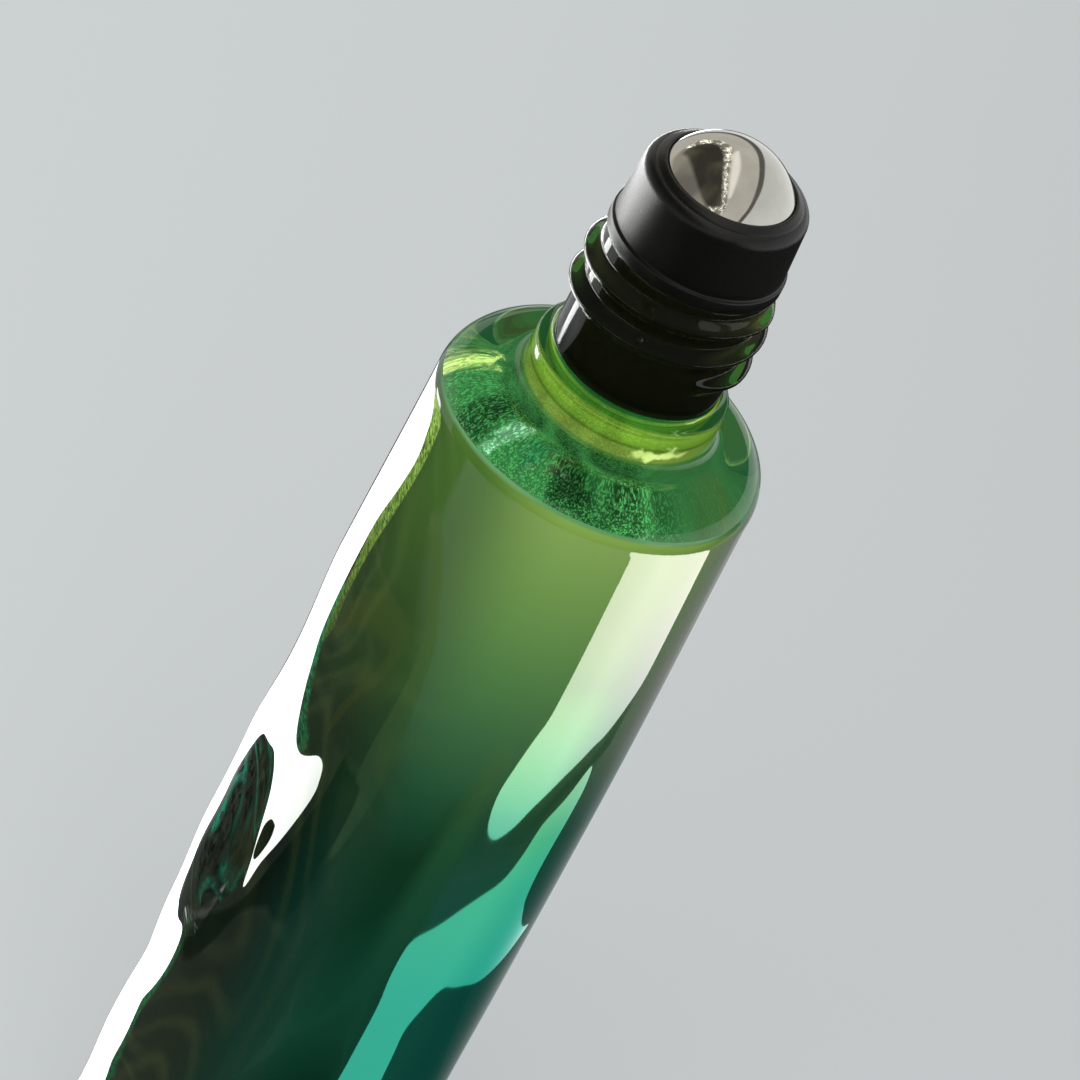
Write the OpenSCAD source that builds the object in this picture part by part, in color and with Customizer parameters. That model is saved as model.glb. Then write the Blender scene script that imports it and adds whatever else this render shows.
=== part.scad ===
// Roll on bottle: a thick, hand dented glass vessel, a black roller housing
// pressed into its neck, and a steel ball that rolls in the housing.
// The base stands on z = 0, the bottle's axis is Z, and the front faces -Y.

/* [Glass body] */
// Outer width of the body where it isn't dented
body_d = 25; // [23:0.5:28]
// Height of the shoulder's flat top above the table
shoulder_h = 86; // [76:1:100]
// Radius of the rounded edge between side and shoulder
shoulder_round = 3.2; // [2.4:0.1:3.8]
// Thickness of the glass under the shoulder
shoulder_t = 4; // [3:0.1:6]
// Thickness of the side wall
wall_t = 2.3; // [1.9:0.1:2.8]
// Thickness of the heavy base above its hollow
base_t = 5.5; // [4:0.5:8]
// Radius of the rounded heel
heel_round = 1.8; // [1.2:0.1:2.4]
// Width of the hollow underneath
punt_d = 17; // [13:0.5:18.5]
// Depth of the hollow underneath
punt_h = 0.8; // [0.5:0.1:1.2]
// Radius of the chamber's lower corner
chamber_foot_round = 3; // [2:0.1:4]
// Radius of the chamber's upper corner
chamber_top_round = 3.5; // [2.5:0.1:4.5]

/* [Wall] */
// How far the wall swells out at its fullest place
belly_rise = 0.2; // [0:0.05:0.4]
// Height of that place above the table
belly_h = 58; // [50:1:64]
// Reach of the swell above and below it
belly_reach = 26; // [20:1:28]
// Depth of the deepest dent
dent_depth = 1.1; // [0.7:0.05:1.2]
// Reach of the widest dent to either side of its centre, along the wall
dent_w = 9; // [7:0.5:10]
// Reach of the longest dent above and below its centre
dent_l = 17; // [13:0.5:18]
// Length over which the dents fade towards the wall's two ends
dent_fade = 9; // [5:1:14]
// How far the dented wall lies inside the round heel and shoulder
wall_inset = 0.04; // [0.02:0.01:0.1]

/* [Neck] */
// Width of the neck between its threads
neck_d = 12.92; // [12.4:0.02:13.2]
// Bore of the neck
bore_d = 10.6; // [10.2:0.1:10.9]
// Height of the neck from the collar to the lip
neck_h = 10.6; // [9.6:0.1:12]
// Width of the collar under the neck
collar_d = 14.88; // [14.2:0.04:15.6]
// Height of the collar's edge above the shoulder
collar_h = 3.75; // [3.2:0.05:4.5]
// Rise of the collar's top from its edge to the neck
collar_rise = 0.25; // [0.1:0.05:0.5]
// Radius of the collar's edge
collar_round = 0.4; // [0.2:0.05:0.6]
// Radius of the cove between shoulder and collar
cove_round = 1.1; // [0.7:0.1:1.5]
// Radius of the lip's outer edge
lip_round = 0.35; // [0.2:0.05:0.45]

/* [Roller housing] */
// Width of the flange that sits on the lip
flange_d = 13.54; // [13.3:0.02:14]
// Thickness of the flange
flange_t = 1.1; // [0.8:0.1:1.5]
// Width of the housing at its rounded rim
housing_top_d = 12.7; // [12.3:0.02:12.86]
// How far the housing widens, to each side, from its rim to its foot
housing_taper = 0.2; // [0.05:0.01:0.28]
// Least width of the retaining lip inside the rim's round
lip_land = 0.3; // [0.2:0.02:0.32]
// Wall of the housing round the ball, at its rim
rim_wall = 0.69; // [0.55:0.01:0.8]
// Depth of the ball's seat below the flange's top
seat_drop = 2.66; // [2.2:0.02:3]
// Radius of the rounded rim
rim_round = 0.9; // [0.6:0.05:1]
// Rise of the retaining lip from the rim to the opening
rim_rise = 0.4; // [0.2:0.05:0.6]
// Length of the plug skirt in the bore
skirt_l = 10.5; // [8:0.5:11.5]
// Wall of the plug skirt
skirt_t = 0.95; // [0.8:0.05:1.2]
// Gap round the skirt, between its sealing ribs
skirt_gap = 0.1; // [0.05:0.01:0.15]
// How far each sealing rib is larger than the bore, in radius
rib_squeeze = 0.03; // [0.01:0.01:0.05]
// Number of sealing ribs
rib_n = 3; // [2:1:4]
// Thickness of a sealing rib
rib_t = 0.6; // [0.4:0.05:0.8]
// Bevel at the skirt's end
skirt_bevel = 0.4; // [0.2:0.05:0.6]
// Thickness of the cup's floor under the ball
cup_t = 0.9; // [0.7:0.1:1.3]
// Width of the feed hole in the cup's floor
feed_d = 2.6; // [2:0.1:3.4]

/* [Ball] */
// Height of the ball's top above the opening
ball_rise = 2.8; // [2.4:0.1:3.2]
// Running gap between ball and seat
ball_gap = 0.06; // [0.03:0.01:0.09]
// Number of oil grooves in the seat
groove_n = 6; // [3:1:8]
// Width of an oil groove
groove_w = 1.6; // [1:0.1:2]
// Distance of a groove's outer end from the bottle's axis
groove_reach = 4.1; // [3.6:0.1:4.2]

/* [Smoothness] */
// Sides of every round
round_n = 96; // [48:4:160]
// Points of a dented ring
dent_cols = 48; // [32:4:60]
// Rings of the dented wall
dent_rows = 36; // [24:2:44]

/* [Hidden] */

$fn = round_n;

// How far a cut runs past the face that it opens
overrun = 1;

body_r = body_d / 2;
neck_r = neck_d / 2;
bore_r = bore_d / 2;
collar_r = collar_d / 2;
punt_r = punt_d / 2;
flange_r = flange_d / 2;
rim_r = housing_top_d / 2;
housing_r = rim_r + housing_taper;

// The dented wall runs between the heel and the shoulder's round
wall_low = heel_round;
wall_high = shoulder_h - shoulder_round;

// The ball fills the housing up to its wall, less the running gap
seat_r = rim_r - rim_wall;
ball_r = seat_r - ball_gap;

// Heights of the neck and of what stands on it
collar_top = shoulder_h + collar_h;
neck_low = collar_top + collar_rise;
lip_z = neck_low + neck_h;
flange_top = lip_z + flange_t;
seat_low = flange_top - seat_drop;
ball_z = seat_low + seat_r;
opening_z = ball_z + ball_r - ball_rise;
rim_z = opening_z - rim_rise;

// The rim's round stops where it would eat into the retaining lip
seat_at_rim = sqrt(pow(seat_r, 2) - pow(rim_z - ball_z, 2));
rim_fillet = min(rim_round, rim_r - seat_at_rim - lip_land);

// The chamber inside the glass
chamber_r = body_r - wall_t;
chamber_low = punt_h + base_t;
chamber_high = shoulder_h - shoulder_t;

// The seat's opening and the plug under it
opening_r = sqrt(pow(seat_r, 2) - pow(opening_z - ball_z, 2));
skirt_r = bore_r - skirt_gap;
skirt_low = lip_z - skirt_l;
cup_low = seat_low - cup_t;
rib_pitch = (skirt_l - skirt_bevel) / (rib_n + 1);

// One dent a line: bearing of its centre in degrees, and its height, width,
// length and depth as shares of the wall's height and of the sizes above
dent_shares = [
    [181, 0.65, 0.85, 0.62, 0.42],
    [198, 0.50, 0.90, 0.80, 0.46],
    [190, 0.33, 1.00, 0.75, 0.62],
    [184, 0.265, 0.95, 0.50, 0.92],
    [178, 0.14, 0.95, 0.75, 0.95],
    [238, 0.06, 0.85, 0.70, 0.55],
    [285, 0.25, 0.75, 0.70, 0.15],
    [336, 0.18, 0.80, 0.70, 0.30],
    [20, 0.30, 0.80, 0.80, 0.40],
    [60, 0.55, 1.00, 0.90, 0.60],
    [100, 0.32, 0.95, 0.85, 0.70],
    [118, 0.72, 0.95, 0.85, 0.55],
    [148, 0.48, 0.90, 0.80, 0.60],
];
// The higher this power, the less dents that overlap add up
blend_power = 3;

// Turn from one bearing to another, between -180 and 180 degrees
function turn(a, b) = (a - b + 540) % 360 - 180;

// Smooth step from 0 to 1
function ramp(x) = let (t = min(1, max(0, x))) t * t * (3 - 2 * t);

// Depth of one dent at a place: full in the middle, level at its edge
function dent_at(dent, bearing, z) =
    let (
        dent_z = wall_low + dent[1] * (wall_high - wall_low),
        aside = turn(bearing, dent[0]) * PI / 180 * body_r / (dent[2] * dent_w),
        along = (z - dent_z) / (dent[3] * dent_l),
        reach = aside * aside + along * along
    )
    dent[4] * dent_depth * pow(max(0, 1 - reach), 2);

// Depth of all the dents at a place, down to nothing at the wall's two ends
function dents_at(bearing, z) =
    let (powers = [for (dent = dent_shares) pow(dent_at(dent, bearing, z), blend_power)])
    pow(powers * [for (p = powers) 1], 1 / blend_power)
        * ramp((z - wall_low) / dent_fade) * ramp((wall_high - z) / dent_fade);

// Swell of the wall at a height
function belly_at(z) = belly_rise * pow(max(0, 1 - pow((z - belly_h) / belly_reach, 2)), 2);

// Point of the wall at a bearing and a height
function wall_point(bearing, z) =
    let (r = body_r - wall_inset + belly_at(z) - dents_at(bearing, z))
    [r * cos(bearing), r * sin(bearing), z];

// The dented wall, as a solid between two flat round ends
module dented_wall() {
    points = [
        for (row = [0:dent_rows], col = [0:dent_cols - 1])
            wall_point(
                360 * col / dent_cols,
                wall_low + (wall_high - wall_low) * row / dent_rows
            )
    ];
    low_end = [for (col = [0:dent_cols - 1]) col];
    high_end = [
        for (col = [dent_cols - 1:-1:0]) dent_rows * dent_cols + col
    ];
    sides = [
        for (row = [0:dent_rows - 1], col = [0:dent_cols - 1], half = [0, 1])
            let (next = (col + 1) % dent_cols)
            let (a = row * dent_cols + col)
            let (b = row * dent_cols + next)
            let (c = (row + 1) * dent_cols + next)
            let (d = (row + 1) * dent_cols + col)
            half == 0 ? [a, d, c] : [a, c, b]
    ];
    polyhedron(points = points, faces = concat([low_end, high_end], sides));
}

// Outline of a bar round the axis, with its two outer corners rounded
module bar_outline(r, low, high, low_round, high_round) {
    translate([0, low])
        square([r - low_round, high - low]);
    translate([0, low + low_round])
        square([r, high - low - low_round - high_round]);
    translate([0, high - max(low_round, high_round)])
        square([r - high_round, max(low_round, high_round)]);
    translate([r - low_round, low + low_round])
        circle(low_round);
    translate([r - high_round, high - high_round])
        circle(high_round);
}

// Heel of the bottle, up to the dented wall
module heel_outline() {
    square([body_r - heel_round, wall_low]);
    intersection() {
        translate([body_r - heel_round, heel_round])
            circle(heel_round);
        square([body_r, heel_round]);
    }
}

// Shoulder, from the dented wall to its flat top
module shoulder_outline() {
    translate([0, wall_high])
        square([body_r - shoulder_round, shoulder_round]);
    intersection() {
        translate([body_r - shoulder_round, wall_high])
            circle(shoulder_round);
        translate([0, wall_high])
            square([body_r, shoulder_round]);
    }
}

// Collar and the cove that runs out of it onto the shoulder
module collar_outline() {
    translate([0, shoulder_h])
        square([collar_r - collar_round, collar_h]);
    translate([0, shoulder_h])
        square([collar_r, collar_h - collar_round]);
    translate([collar_r - collar_round, collar_top - collar_round])
        circle(collar_round);
    polygon([
        [0, collar_top],
        [collar_r - collar_round, collar_top],
        [neck_r, neck_low],
        [0, neck_low],
    ]);
    difference() {
        translate([0, shoulder_h])
            square([collar_r + cove_round, cove_round]);
        translate([collar_r + cove_round, shoulder_h + cove_round])
            circle(cove_round);
    }
}

// Neck up to the lip
module neck_outline() {
    translate([0, neck_low])
        square([neck_r, neck_h - lip_round]);
    translate([0, neck_low])
        square([neck_r - lip_round, neck_h]);
    translate([neck_r - lip_round, lip_z - lip_round])
        circle(lip_round);
}

// Chamber and bore, which are cut out of the glass
module chamber_outline() {
    bar_outline(chamber_r, chamber_low, chamber_high,
        chamber_foot_round, chamber_top_round);
    translate([0, chamber_low])
        square([bore_r, lip_z - chamber_low + overrun]);
}

// Shallow hollow under the base, a slice of a large ball
module punt() {
    punt_ball_r = (pow(punt_r, 2) + pow(punt_h, 2)) / (2 * punt_h);
    translate([0, 0, punt_h - punt_ball_r])
        sphere(punt_ball_r);
}

// The moulded glass vessel
module glass_bottle() {
    color([0.24, 0.52, 0.25, 0.8])
        difference() {
            union() {
                dented_wall();
                rotate_extrude()
                    heel_outline();
                rotate_extrude()
                    shoulder_outline();
                rotate_extrude() {
                    collar_outline();
                    neck_outline();
                }
            }
            rotate_extrude()
                chamber_outline();
            punt();
        }
}

// Outside of the roller housing: plug, flange, tapered cup and rounded rim
module housing_outline() {
    polygon([
        [0, skirt_low],
        [skirt_r - skirt_bevel, skirt_low],
        [skirt_r, skirt_low + skirt_bevel],
        [skirt_r, lip_z],
        [flange_r, lip_z],
        [flange_r, flange_top],
        [housing_r, flange_top],
        [rim_r, rim_z - rim_fillet],
        [rim_r - rim_fillet, rim_z],
        [opening_r, opening_z],
        [0, opening_z],
    ]);
    translate([rim_r - rim_fillet, rim_z - rim_fillet])
        circle(rim_fillet);
    // Sealing ribs, evenly spaced along the plug
    for (i = [1:rib_n])
        translate([0, lip_z - i * rib_pitch - rib_t / 2])
            square([bore_r + rib_squeeze, rib_t]);
}

// Grooves that bring oil from the feed hole to the ball
module oil_grooves() {
    for (i = [0:groove_n - 1])
        rotate([0, 0, 360 * i / groove_n])
            translate([0, -groove_w / 2, seat_low])
                cube([groove_reach, groove_w, seat_r]);
}

// The black housing that holds the ball and plugs the neck
module roller_housing() {
    color([0.06, 0.065, 0.06])
        difference() {
            rotate_extrude()
                housing_outline();
            translate([0, 0, ball_z])
                sphere(seat_r);
            oil_grooves();
            translate([0, 0, cup_low - overrun])
                cylinder(h = seat_r, r = feed_d / 2);
            translate([0, 0, skirt_low - overrun])
                cylinder(h = cup_low - skirt_low + overrun, r = skirt_r - skirt_t);
        }
}

// The polished steel ball
module roller_ball() {
    color([0.72, 0.71, 0.67])
        translate([0, 0, ball_z])
            sphere(ball_r);
}

glass_bottle();
roller_housing();
roller_ball();
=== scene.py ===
"""Looks of a glass roll on bottle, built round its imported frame.

The bottle stands on z = 0 with its axis along Z. Sizes are in millimetres in the
classes' fields and become metres where a mesh is made. A name ends in _r for a radius,
_z for a height above the table, _h for a rise of its own, _t for a thickness and _l for
a length. Angles are in degrees, and colours are linear red, green and blue.
"""

import logging
import math
from dataclasses import dataclass
from enum import Enum
from typing import Callable, ClassVar

import bmesh
import bpy
import numpy as np
from bpy.types import Material, Node, NodeOutputs, NodeSocket, Object
from mathutils import Matrix, Vector


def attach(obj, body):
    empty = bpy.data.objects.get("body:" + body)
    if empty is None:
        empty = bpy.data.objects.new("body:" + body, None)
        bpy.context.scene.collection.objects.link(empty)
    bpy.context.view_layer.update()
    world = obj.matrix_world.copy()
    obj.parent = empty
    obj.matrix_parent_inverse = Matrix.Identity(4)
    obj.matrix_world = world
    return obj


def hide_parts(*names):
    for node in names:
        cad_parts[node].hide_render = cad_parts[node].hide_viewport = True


MM = 0.001
SAME_POINT = 1e-4
ON_AXIS = 1e-6
SAME_RADIUS = 1e-3
SHARP_ANGLE = math.radians(50)
Colour = tuple[float, float, float]
Pair = tuple[float, float]
Triple = tuple[float, float, float]
Outline = list[Pair]
Reshape = Callable[[np.ndarray, np.ndarray, np.ndarray], np.ndarray]
log = logging.getLogger("roll_on_bottle")

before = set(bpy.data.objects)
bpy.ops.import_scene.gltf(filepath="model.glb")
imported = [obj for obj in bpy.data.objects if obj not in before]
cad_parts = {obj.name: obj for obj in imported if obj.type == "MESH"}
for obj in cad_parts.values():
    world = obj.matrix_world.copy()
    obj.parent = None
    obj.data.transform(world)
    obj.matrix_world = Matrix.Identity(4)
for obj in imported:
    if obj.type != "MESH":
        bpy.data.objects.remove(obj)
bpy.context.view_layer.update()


class Shown(Enum):
    """The sides from which a card can be seen."""

    BOTH = 0
    ABOVE = 1
    BELOW = 2


class Glass(Enum):
    """The looks of the vessel's surface, numbered as its materials are."""

    CLEAR = 0
    LUSTRE = 1
    LINER = 2
    CONTACT = 3


class Kind(Enum):
    """The kinds of socket that a shader group has."""

    NUMBER = "NodeSocketFloat"
    VECTOR = "NodeSocketVector"
    COLOUR = "NodeSocketColor"


def arc(centre: Pair, radius: float, start: float, end: float, steps: int) -> Outline:
    """Points of an arc in the (radius, height) plane.

    Args:
        centre: The arc's centre, as radius and height.
        radius: The arc's own radius.
        start: First angle in degrees, from the outward direction.
        end: Last angle in degrees.
        steps: Number of stretches.

    Returns:
        The points from start to end, both included.
    """
    angles = np.radians(np.linspace(start, end, steps + 1))
    return [(centre[0] + radius * math.cos(a), centre[1] + radius * math.sin(a)) for a in angles]


def line(start: Pair, end: Pair, steps: int) -> Outline:
    """Evenly spaced points of a straight stretch in the (radius, height) plane.

    Args:
        start: First point.
        end: Last point.
        steps: Number of stretches.

    Returns:
        The points from start to end, both included.
    """
    shares = np.linspace(0, 1, steps + 1)
    return [(start[0] + (end[0] - start[0]) * t, start[1] + (end[1] - start[1]) * t)
            for t in shares]


def smooth_step(x: np.ndarray) -> np.ndarray:
    """Smooth step from 0 to 1, for x from 0 to 1."""
    t = np.clip(x, 0, 1)
    return t * t * (3 - 2 * t)


def add_object(name: str, data: bpy.types.ID) -> Object:
    """Puts a new object with a mesh, a lamp or a camera into the scene.

    Args:
        name: Name of the new object.
        data: Its mesh, lamp or camera.

    Returns:
        The object.
    """
    made = bpy.data.objects.new(name, data)
    bpy.context.scene.collection.objects.link(made)
    return made


def lathe(name: str, outline: Outline, columns: int, reshape: Reshape | None = None) -> Object:
    """Turns a closed outline round Z into a mesh object.

    Args:
        name: Name of the new object.
        outline: Radius and height of each ring in millimetres. The first and last
            may lie on the axis, where they become a single point.
        columns: Number of points in a ring.
        reshape: Gives the new radii from arrays of radius, height and bearing.

    Returns:
        The object, with smooth faces.
    """
    points = [outline[0]]
    for point in outline[1:]:
        if math.dist(point, points[-1]) > SAME_POINT:
            points.append(point)
    ring = np.ones((1, columns))
    radii = np.array([p[0] for p in points])[:, None] * ring
    heights = np.array([p[1] for p in points])[:, None] * ring
    bearings = np.linspace(0, 2 * math.pi, columns, endpoint=False)[None, :] + 0 * radii
    if reshape:
        radii = reshape(radii, heights, bearings)
    mesh = bpy.data.meshes.new(name)
    build = bmesh.new()
    rings = []
    for row in range(len(points)):
        if points[row][0] < ON_AXIS:
            rings.append([build.verts.new((0, 0, heights[row, 0] * MM))] * columns)
            continue
        rings.append([
            build.verts.new((
                radii[row, col] * math.cos(bearings[row, col]) * MM,
                radii[row, col] * math.sin(bearings[row, col]) * MM,
                heights[row, col] * MM,
            ))
            for col in range(columns)
        ])
    for low, high in zip(rings, rings[1:]):
        for col in range(columns):
            after = (col + 1) % columns
            corners = [low[col], low[after], high[after], high[col]]
            unique = [v for i, v in enumerate(corners) if v not in corners[:i]]
            if len(unique) > 2:
                build.faces.new(unique).smooth = True
    bmesh.ops.recalc_face_normals(build, faces=build.faces)
    build.to_mesh(mesh)
    build.free()
    return add_object(name, mesh)


@dataclass(frozen=True)
class Dent:
    """A soft dent in the vessel's wall: its bearing in degrees and shares of the sizes."""

    bearing: float
    height: float
    width: float
    length: float
    depth: float


@dataclass
class GlassVessel:
    """The moulded glass bottle: dented body, shoulder, collar, threaded neck and chamber."""

    body_r: float = 12.5
    shoulder_z: float = 86.0
    shoulder_round: float = 3.2
    heel_round: float = 1.8
    punt_r: float = 8.5
    punt_h: float = 0.8
    wall_t: float = 2.3
    base_t: float = 5.5
    shoulder_t: float = 4.0
    chamber_foot: float = 3.0
    chamber_top: float = 3.5
    lustre_drop: float = 2.1
    collar_r: float = 7.44
    collar_h: float = 3.75
    collar_rise: float = 0.25
    collar_round: float = 0.4
    cove: float = 1.1
    neck_r: float = 6.46
    neck_h: float = 10.6
    bore_r: float = 5.3
    plug_low: float = 90.2
    lip_round: float = 0.35
    thread_h: float = 0.92
    thread_half: float = 0.98
    thread_pitch: float = 2.75
    thread_low_bearing: float = -62.0
    thread_low_z: float = 93.3
    thread_turns: float = 2.25
    thread_runout: float = 50.0
    belly: float = 0.2
    belly_z: float = 58.0
    belly_half: float = 26.0
    dent_depth: float = 1.1
    dent_w: float = 9.0
    dent_l: float = 17.0
    dent_fade: float = 9.0
    blend_power: float = 3.0
    neck_ease: float = 0.25
    bore_ease: float = 0.15
    bore_edge: float = 0.5
    bore_skin: float = 0.1
    thread_power: float = 0.8
    sole_z: float = 0.2
    liner_drop: float = 3.0
    wall_steps: int = 150
    neck_steps: int = 110
    columns: int = 256
    dents: tuple[Dent, ...] = (
        Dent(181, 0.650, 0.85, 0.62, 0.42),
        Dent(198, 0.500, 0.90, 0.80, 0.46),
        Dent(190, 0.330, 1.00, 0.75, 0.62),
        Dent(184, 0.265, 0.95, 0.50, 0.92),
        Dent(178, 0.140, 0.95, 0.75, 0.95),
        Dent(238, 0.060, 0.85, 0.70, 0.55),
        Dent(285, 0.250, 0.75, 0.70, 0.15),
        Dent(336, 0.180, 0.80, 0.70, 0.30),
        Dent(20, 0.300, 0.80, 0.80, 0.40),
        Dent(60, 0.550, 1.00, 0.90, 0.60),
        Dent(100, 0.320, 0.95, 0.85, 0.70),
        Dent(118, 0.720, 0.95, 0.85, 0.55),
        Dent(148, 0.480, 0.90, 0.80, 0.60),
    )

    @property
    def wall_high(self) -> float:
        """Height where the dented wall ends and the shoulder's round starts."""
        return self.shoulder_z - self.shoulder_round

    @property
    def neck_low(self) -> float:
        """Height of the neck's foot on the collar."""
        return self.shoulder_z + self.collar_h + self.collar_rise

    @property
    def lip_z(self) -> float:
        """Height of the neck's lip."""
        return self.neck_low + self.neck_h

    def dent_depths(self, heights: np.ndarray, bearings: np.ndarray) -> np.ndarray:
        """Depth of all the dents together.

        Args:
            heights: Heights in millimetres.
            bearings: Bearings in radians.

        Returns:
            The depth at each height and bearing, in millimetres.
        """
        span = self.wall_high - self.heel_round
        total = np.zeros_like(heights)
        for dent in self.dents:
            turn = (np.degrees(bearings) - dent.bearing + 540) % 360 - 180
            aside = np.radians(turn) * self.body_r / (dent.width * self.dent_w)
            along = (heights - self.heel_round - dent.height * span) / (dent.length * self.dent_l)
            bowl = np.clip(1 - aside ** 2 - along ** 2, 0, None) ** 2
            total += (bowl * dent.depth * self.dent_depth) ** self.blend_power
        fade = smooth_step((heights - self.heel_round) / self.dent_fade)
        fade *= smooth_step((self.wall_high - heights) / self.dent_fade)
        return total ** (1 / self.blend_power) * fade

    def thread_heights(self, heights: np.ndarray, bearings: np.ndarray) -> np.ndarray:
        """Rise of the thread's ridge over the neck.

        Args:
            heights: Heights in millimetres.
            bearings: Bearings in radians.

        Returns:
            The rise at each height and bearing, in millimetres.
        """
        total = np.zeros_like(heights)
        start = math.radians(self.thread_low_bearing)
        sweep = self.thread_turns * 2 * math.pi
        runout = math.radians(self.thread_runout)
        for turn in range(-1, int(self.thread_turns) + 2):
            along = (bearings - start) % (2 * math.pi) + 2 * math.pi * turn
            crest = self.thread_low_z + self.thread_pitch * along / (2 * math.pi)
            ends = smooth_step(along / runout) * smooth_step((sweep - along) / runout)
            across = np.clip(np.abs(heights - crest) / self.thread_half, 0, 1)
            ridge = (0.5 + 0.5 * np.cos(math.pi * across)) ** self.thread_power
            total = np.maximum(total, self.thread_h * ends * ridge)
        return total

    def reshape(self, radii: np.ndarray, heights: np.ndarray, bearings: np.ndarray) -> np.ndarray:
        """Presses the dents into the side wall and raises the thread on the neck.

        Args:
            radii: Radii of the plain turned vessel, in millimetres.
            heights: Heights in millimetres.
            bearings: Bearings in radians.

        Returns:
            The new radii.
        """
        outer = radii > self.body_r - SAME_RADIUS
        wall = (heights > self.heel_round) & (heights < self.wall_high) & outer
        neck = (np.abs(radii - self.neck_r) < SAME_RADIUS) & (heights > self.neck_low)
        from_belly = (heights - self.belly_z) / self.belly_half
        swollen = self.belly * np.clip(1 - from_belly ** 2, 0, None) ** 2
        dented = np.where(wall, radii + swollen - self.dent_depths(heights, bearings), radii)
        return np.where(neck, dented + self.thread_heights(heights, bearings), dented)

    def outline(self) -> Outline:
        """Lays out the vessel's closed outline.

        Returns:
            The points from the middle of the underside, outside up and inside down, to the
            middle of the chamber's floor.
        """
        punt_ball = (self.punt_r ** 2 + self.punt_h ** 2) / (2 * self.punt_h)
        half = math.degrees(math.asin(self.punt_r / punt_ball))
        foot_r = self.body_r - self.heel_round
        top_r = self.body_r - self.shoulder_round
        wall_top = self.wall_high
        collar_z = self.shoulder_z + self.collar_h
        edge_r = self.collar_r - self.collar_round
        lip_r = self.neck_r - self.lip_round
        chamber_r = self.body_r - self.wall_t
        floor_z = self.punt_h + self.base_t
        roof_z = self.shoulder_z - self.shoulder_t
        edge_z = roof_z + self.bore_edge
        parting = math.degrees(math.asin(1 - self.lustre_drop / self.shoulder_round))
        shoulder = (top_r, wall_top)
        points = arc((0, self.punt_h - punt_ball), punt_ball, 90, 90 - half, 10)
        points += line((self.punt_r, 0), (foot_r, 0), 3)
        points += arc((foot_r, self.heel_round), self.heel_round, -90, 0, 12)
        points += line((self.body_r, self.heel_round), (self.body_r, wall_top),
                       self.wall_steps)
        points += arc(shoulder, self.shoulder_round, 0, parting, 8)
        points += arc(shoulder, self.shoulder_round, parting, 90, 14)
        points += line((top_r, self.shoulder_z), (self.collar_r + self.cove, self.shoulder_z), 2)
        points += arc((self.collar_r + self.cove, self.shoulder_z + self.cove), self.cove,
                      -90, -180, 10)
        points += line((self.collar_r, self.shoulder_z + self.cove),
                       (self.collar_r, collar_z - self.collar_round), 3)
        points += arc((edge_r, collar_z - self.collar_round), self.collar_round, 0, 75, 6)
        points += line((edge_r, collar_z), (self.neck_r + self.neck_ease, self.neck_low), 2)[1:]
        points += line((self.neck_r, self.neck_low + self.neck_ease),
                       (self.neck_r, self.lip_z - self.lip_round), self.neck_steps)
        points += arc((lip_r, self.lip_z - self.lip_round), self.lip_round, 0, 90, 6)
        points += line((lip_r, self.lip_z), (self.bore_r + self.bore_ease, self.lip_z), 2)
        points += line((self.bore_r, self.lip_z - self.bore_ease),
                       (self.bore_r, self.plug_low), 8)
        points += line((self.bore_r, self.plug_low), (self.bore_r, edge_z), 6)
        points += arc((self.bore_r + self.bore_edge, edge_z), self.bore_edge, 180, 270, 4)
        points += arc((chamber_r - self.chamber_top, roof_z - self.chamber_top),
                      self.chamber_top, 90, 0, 12)
        points += arc((chamber_r - self.chamber_foot, floor_z + self.chamber_foot),
                      self.chamber_foot, 0, -90, 12)
        points.append((0, floor_z))
        return points

    def look(self, radius: float, height: float) -> Glass:
        """Tells how a face of the vessel looks.

        Args:
            radius: Distance of the face's middle from the axis, in millimetres.
            height: Its height in millimetres.

        Returns:
            The look of that place.
        """
        inner_r = self.body_r - self.wall_t / 2 - self.dent_depth
        outside = radius > inner_r or height < self.sole_z
        if outside and height < self.shoulder_z - self.lustre_drop:
            return Glass.LUSTRE
        if (radius > self.bore_r + 2 * self.bore_skin
                and height < self.shoulder_z - self.liner_drop):
            return Glass.LINER
        if radius < self.bore_r + self.bore_skin:
            return Glass.CONTACT if height > self.plug_low else Glass.LINER
        return Glass.CLEAR

    def build(self) -> Object:
        """Builds the vessel, with the look of each face marked.

        Returns:
            The vessel's object.
        """
        vessel = lathe("glass_vessel", self.outline(), self.columns, self.reshape)
        for face in vessel.data.polygons:
            x, y, z = face.center / MM
            face.material_index = self.look(math.hypot(x, y), z).value
        vessel.data.set_sharp_from_angle(angle=SHARP_ANGLE)
        return vessel


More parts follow.
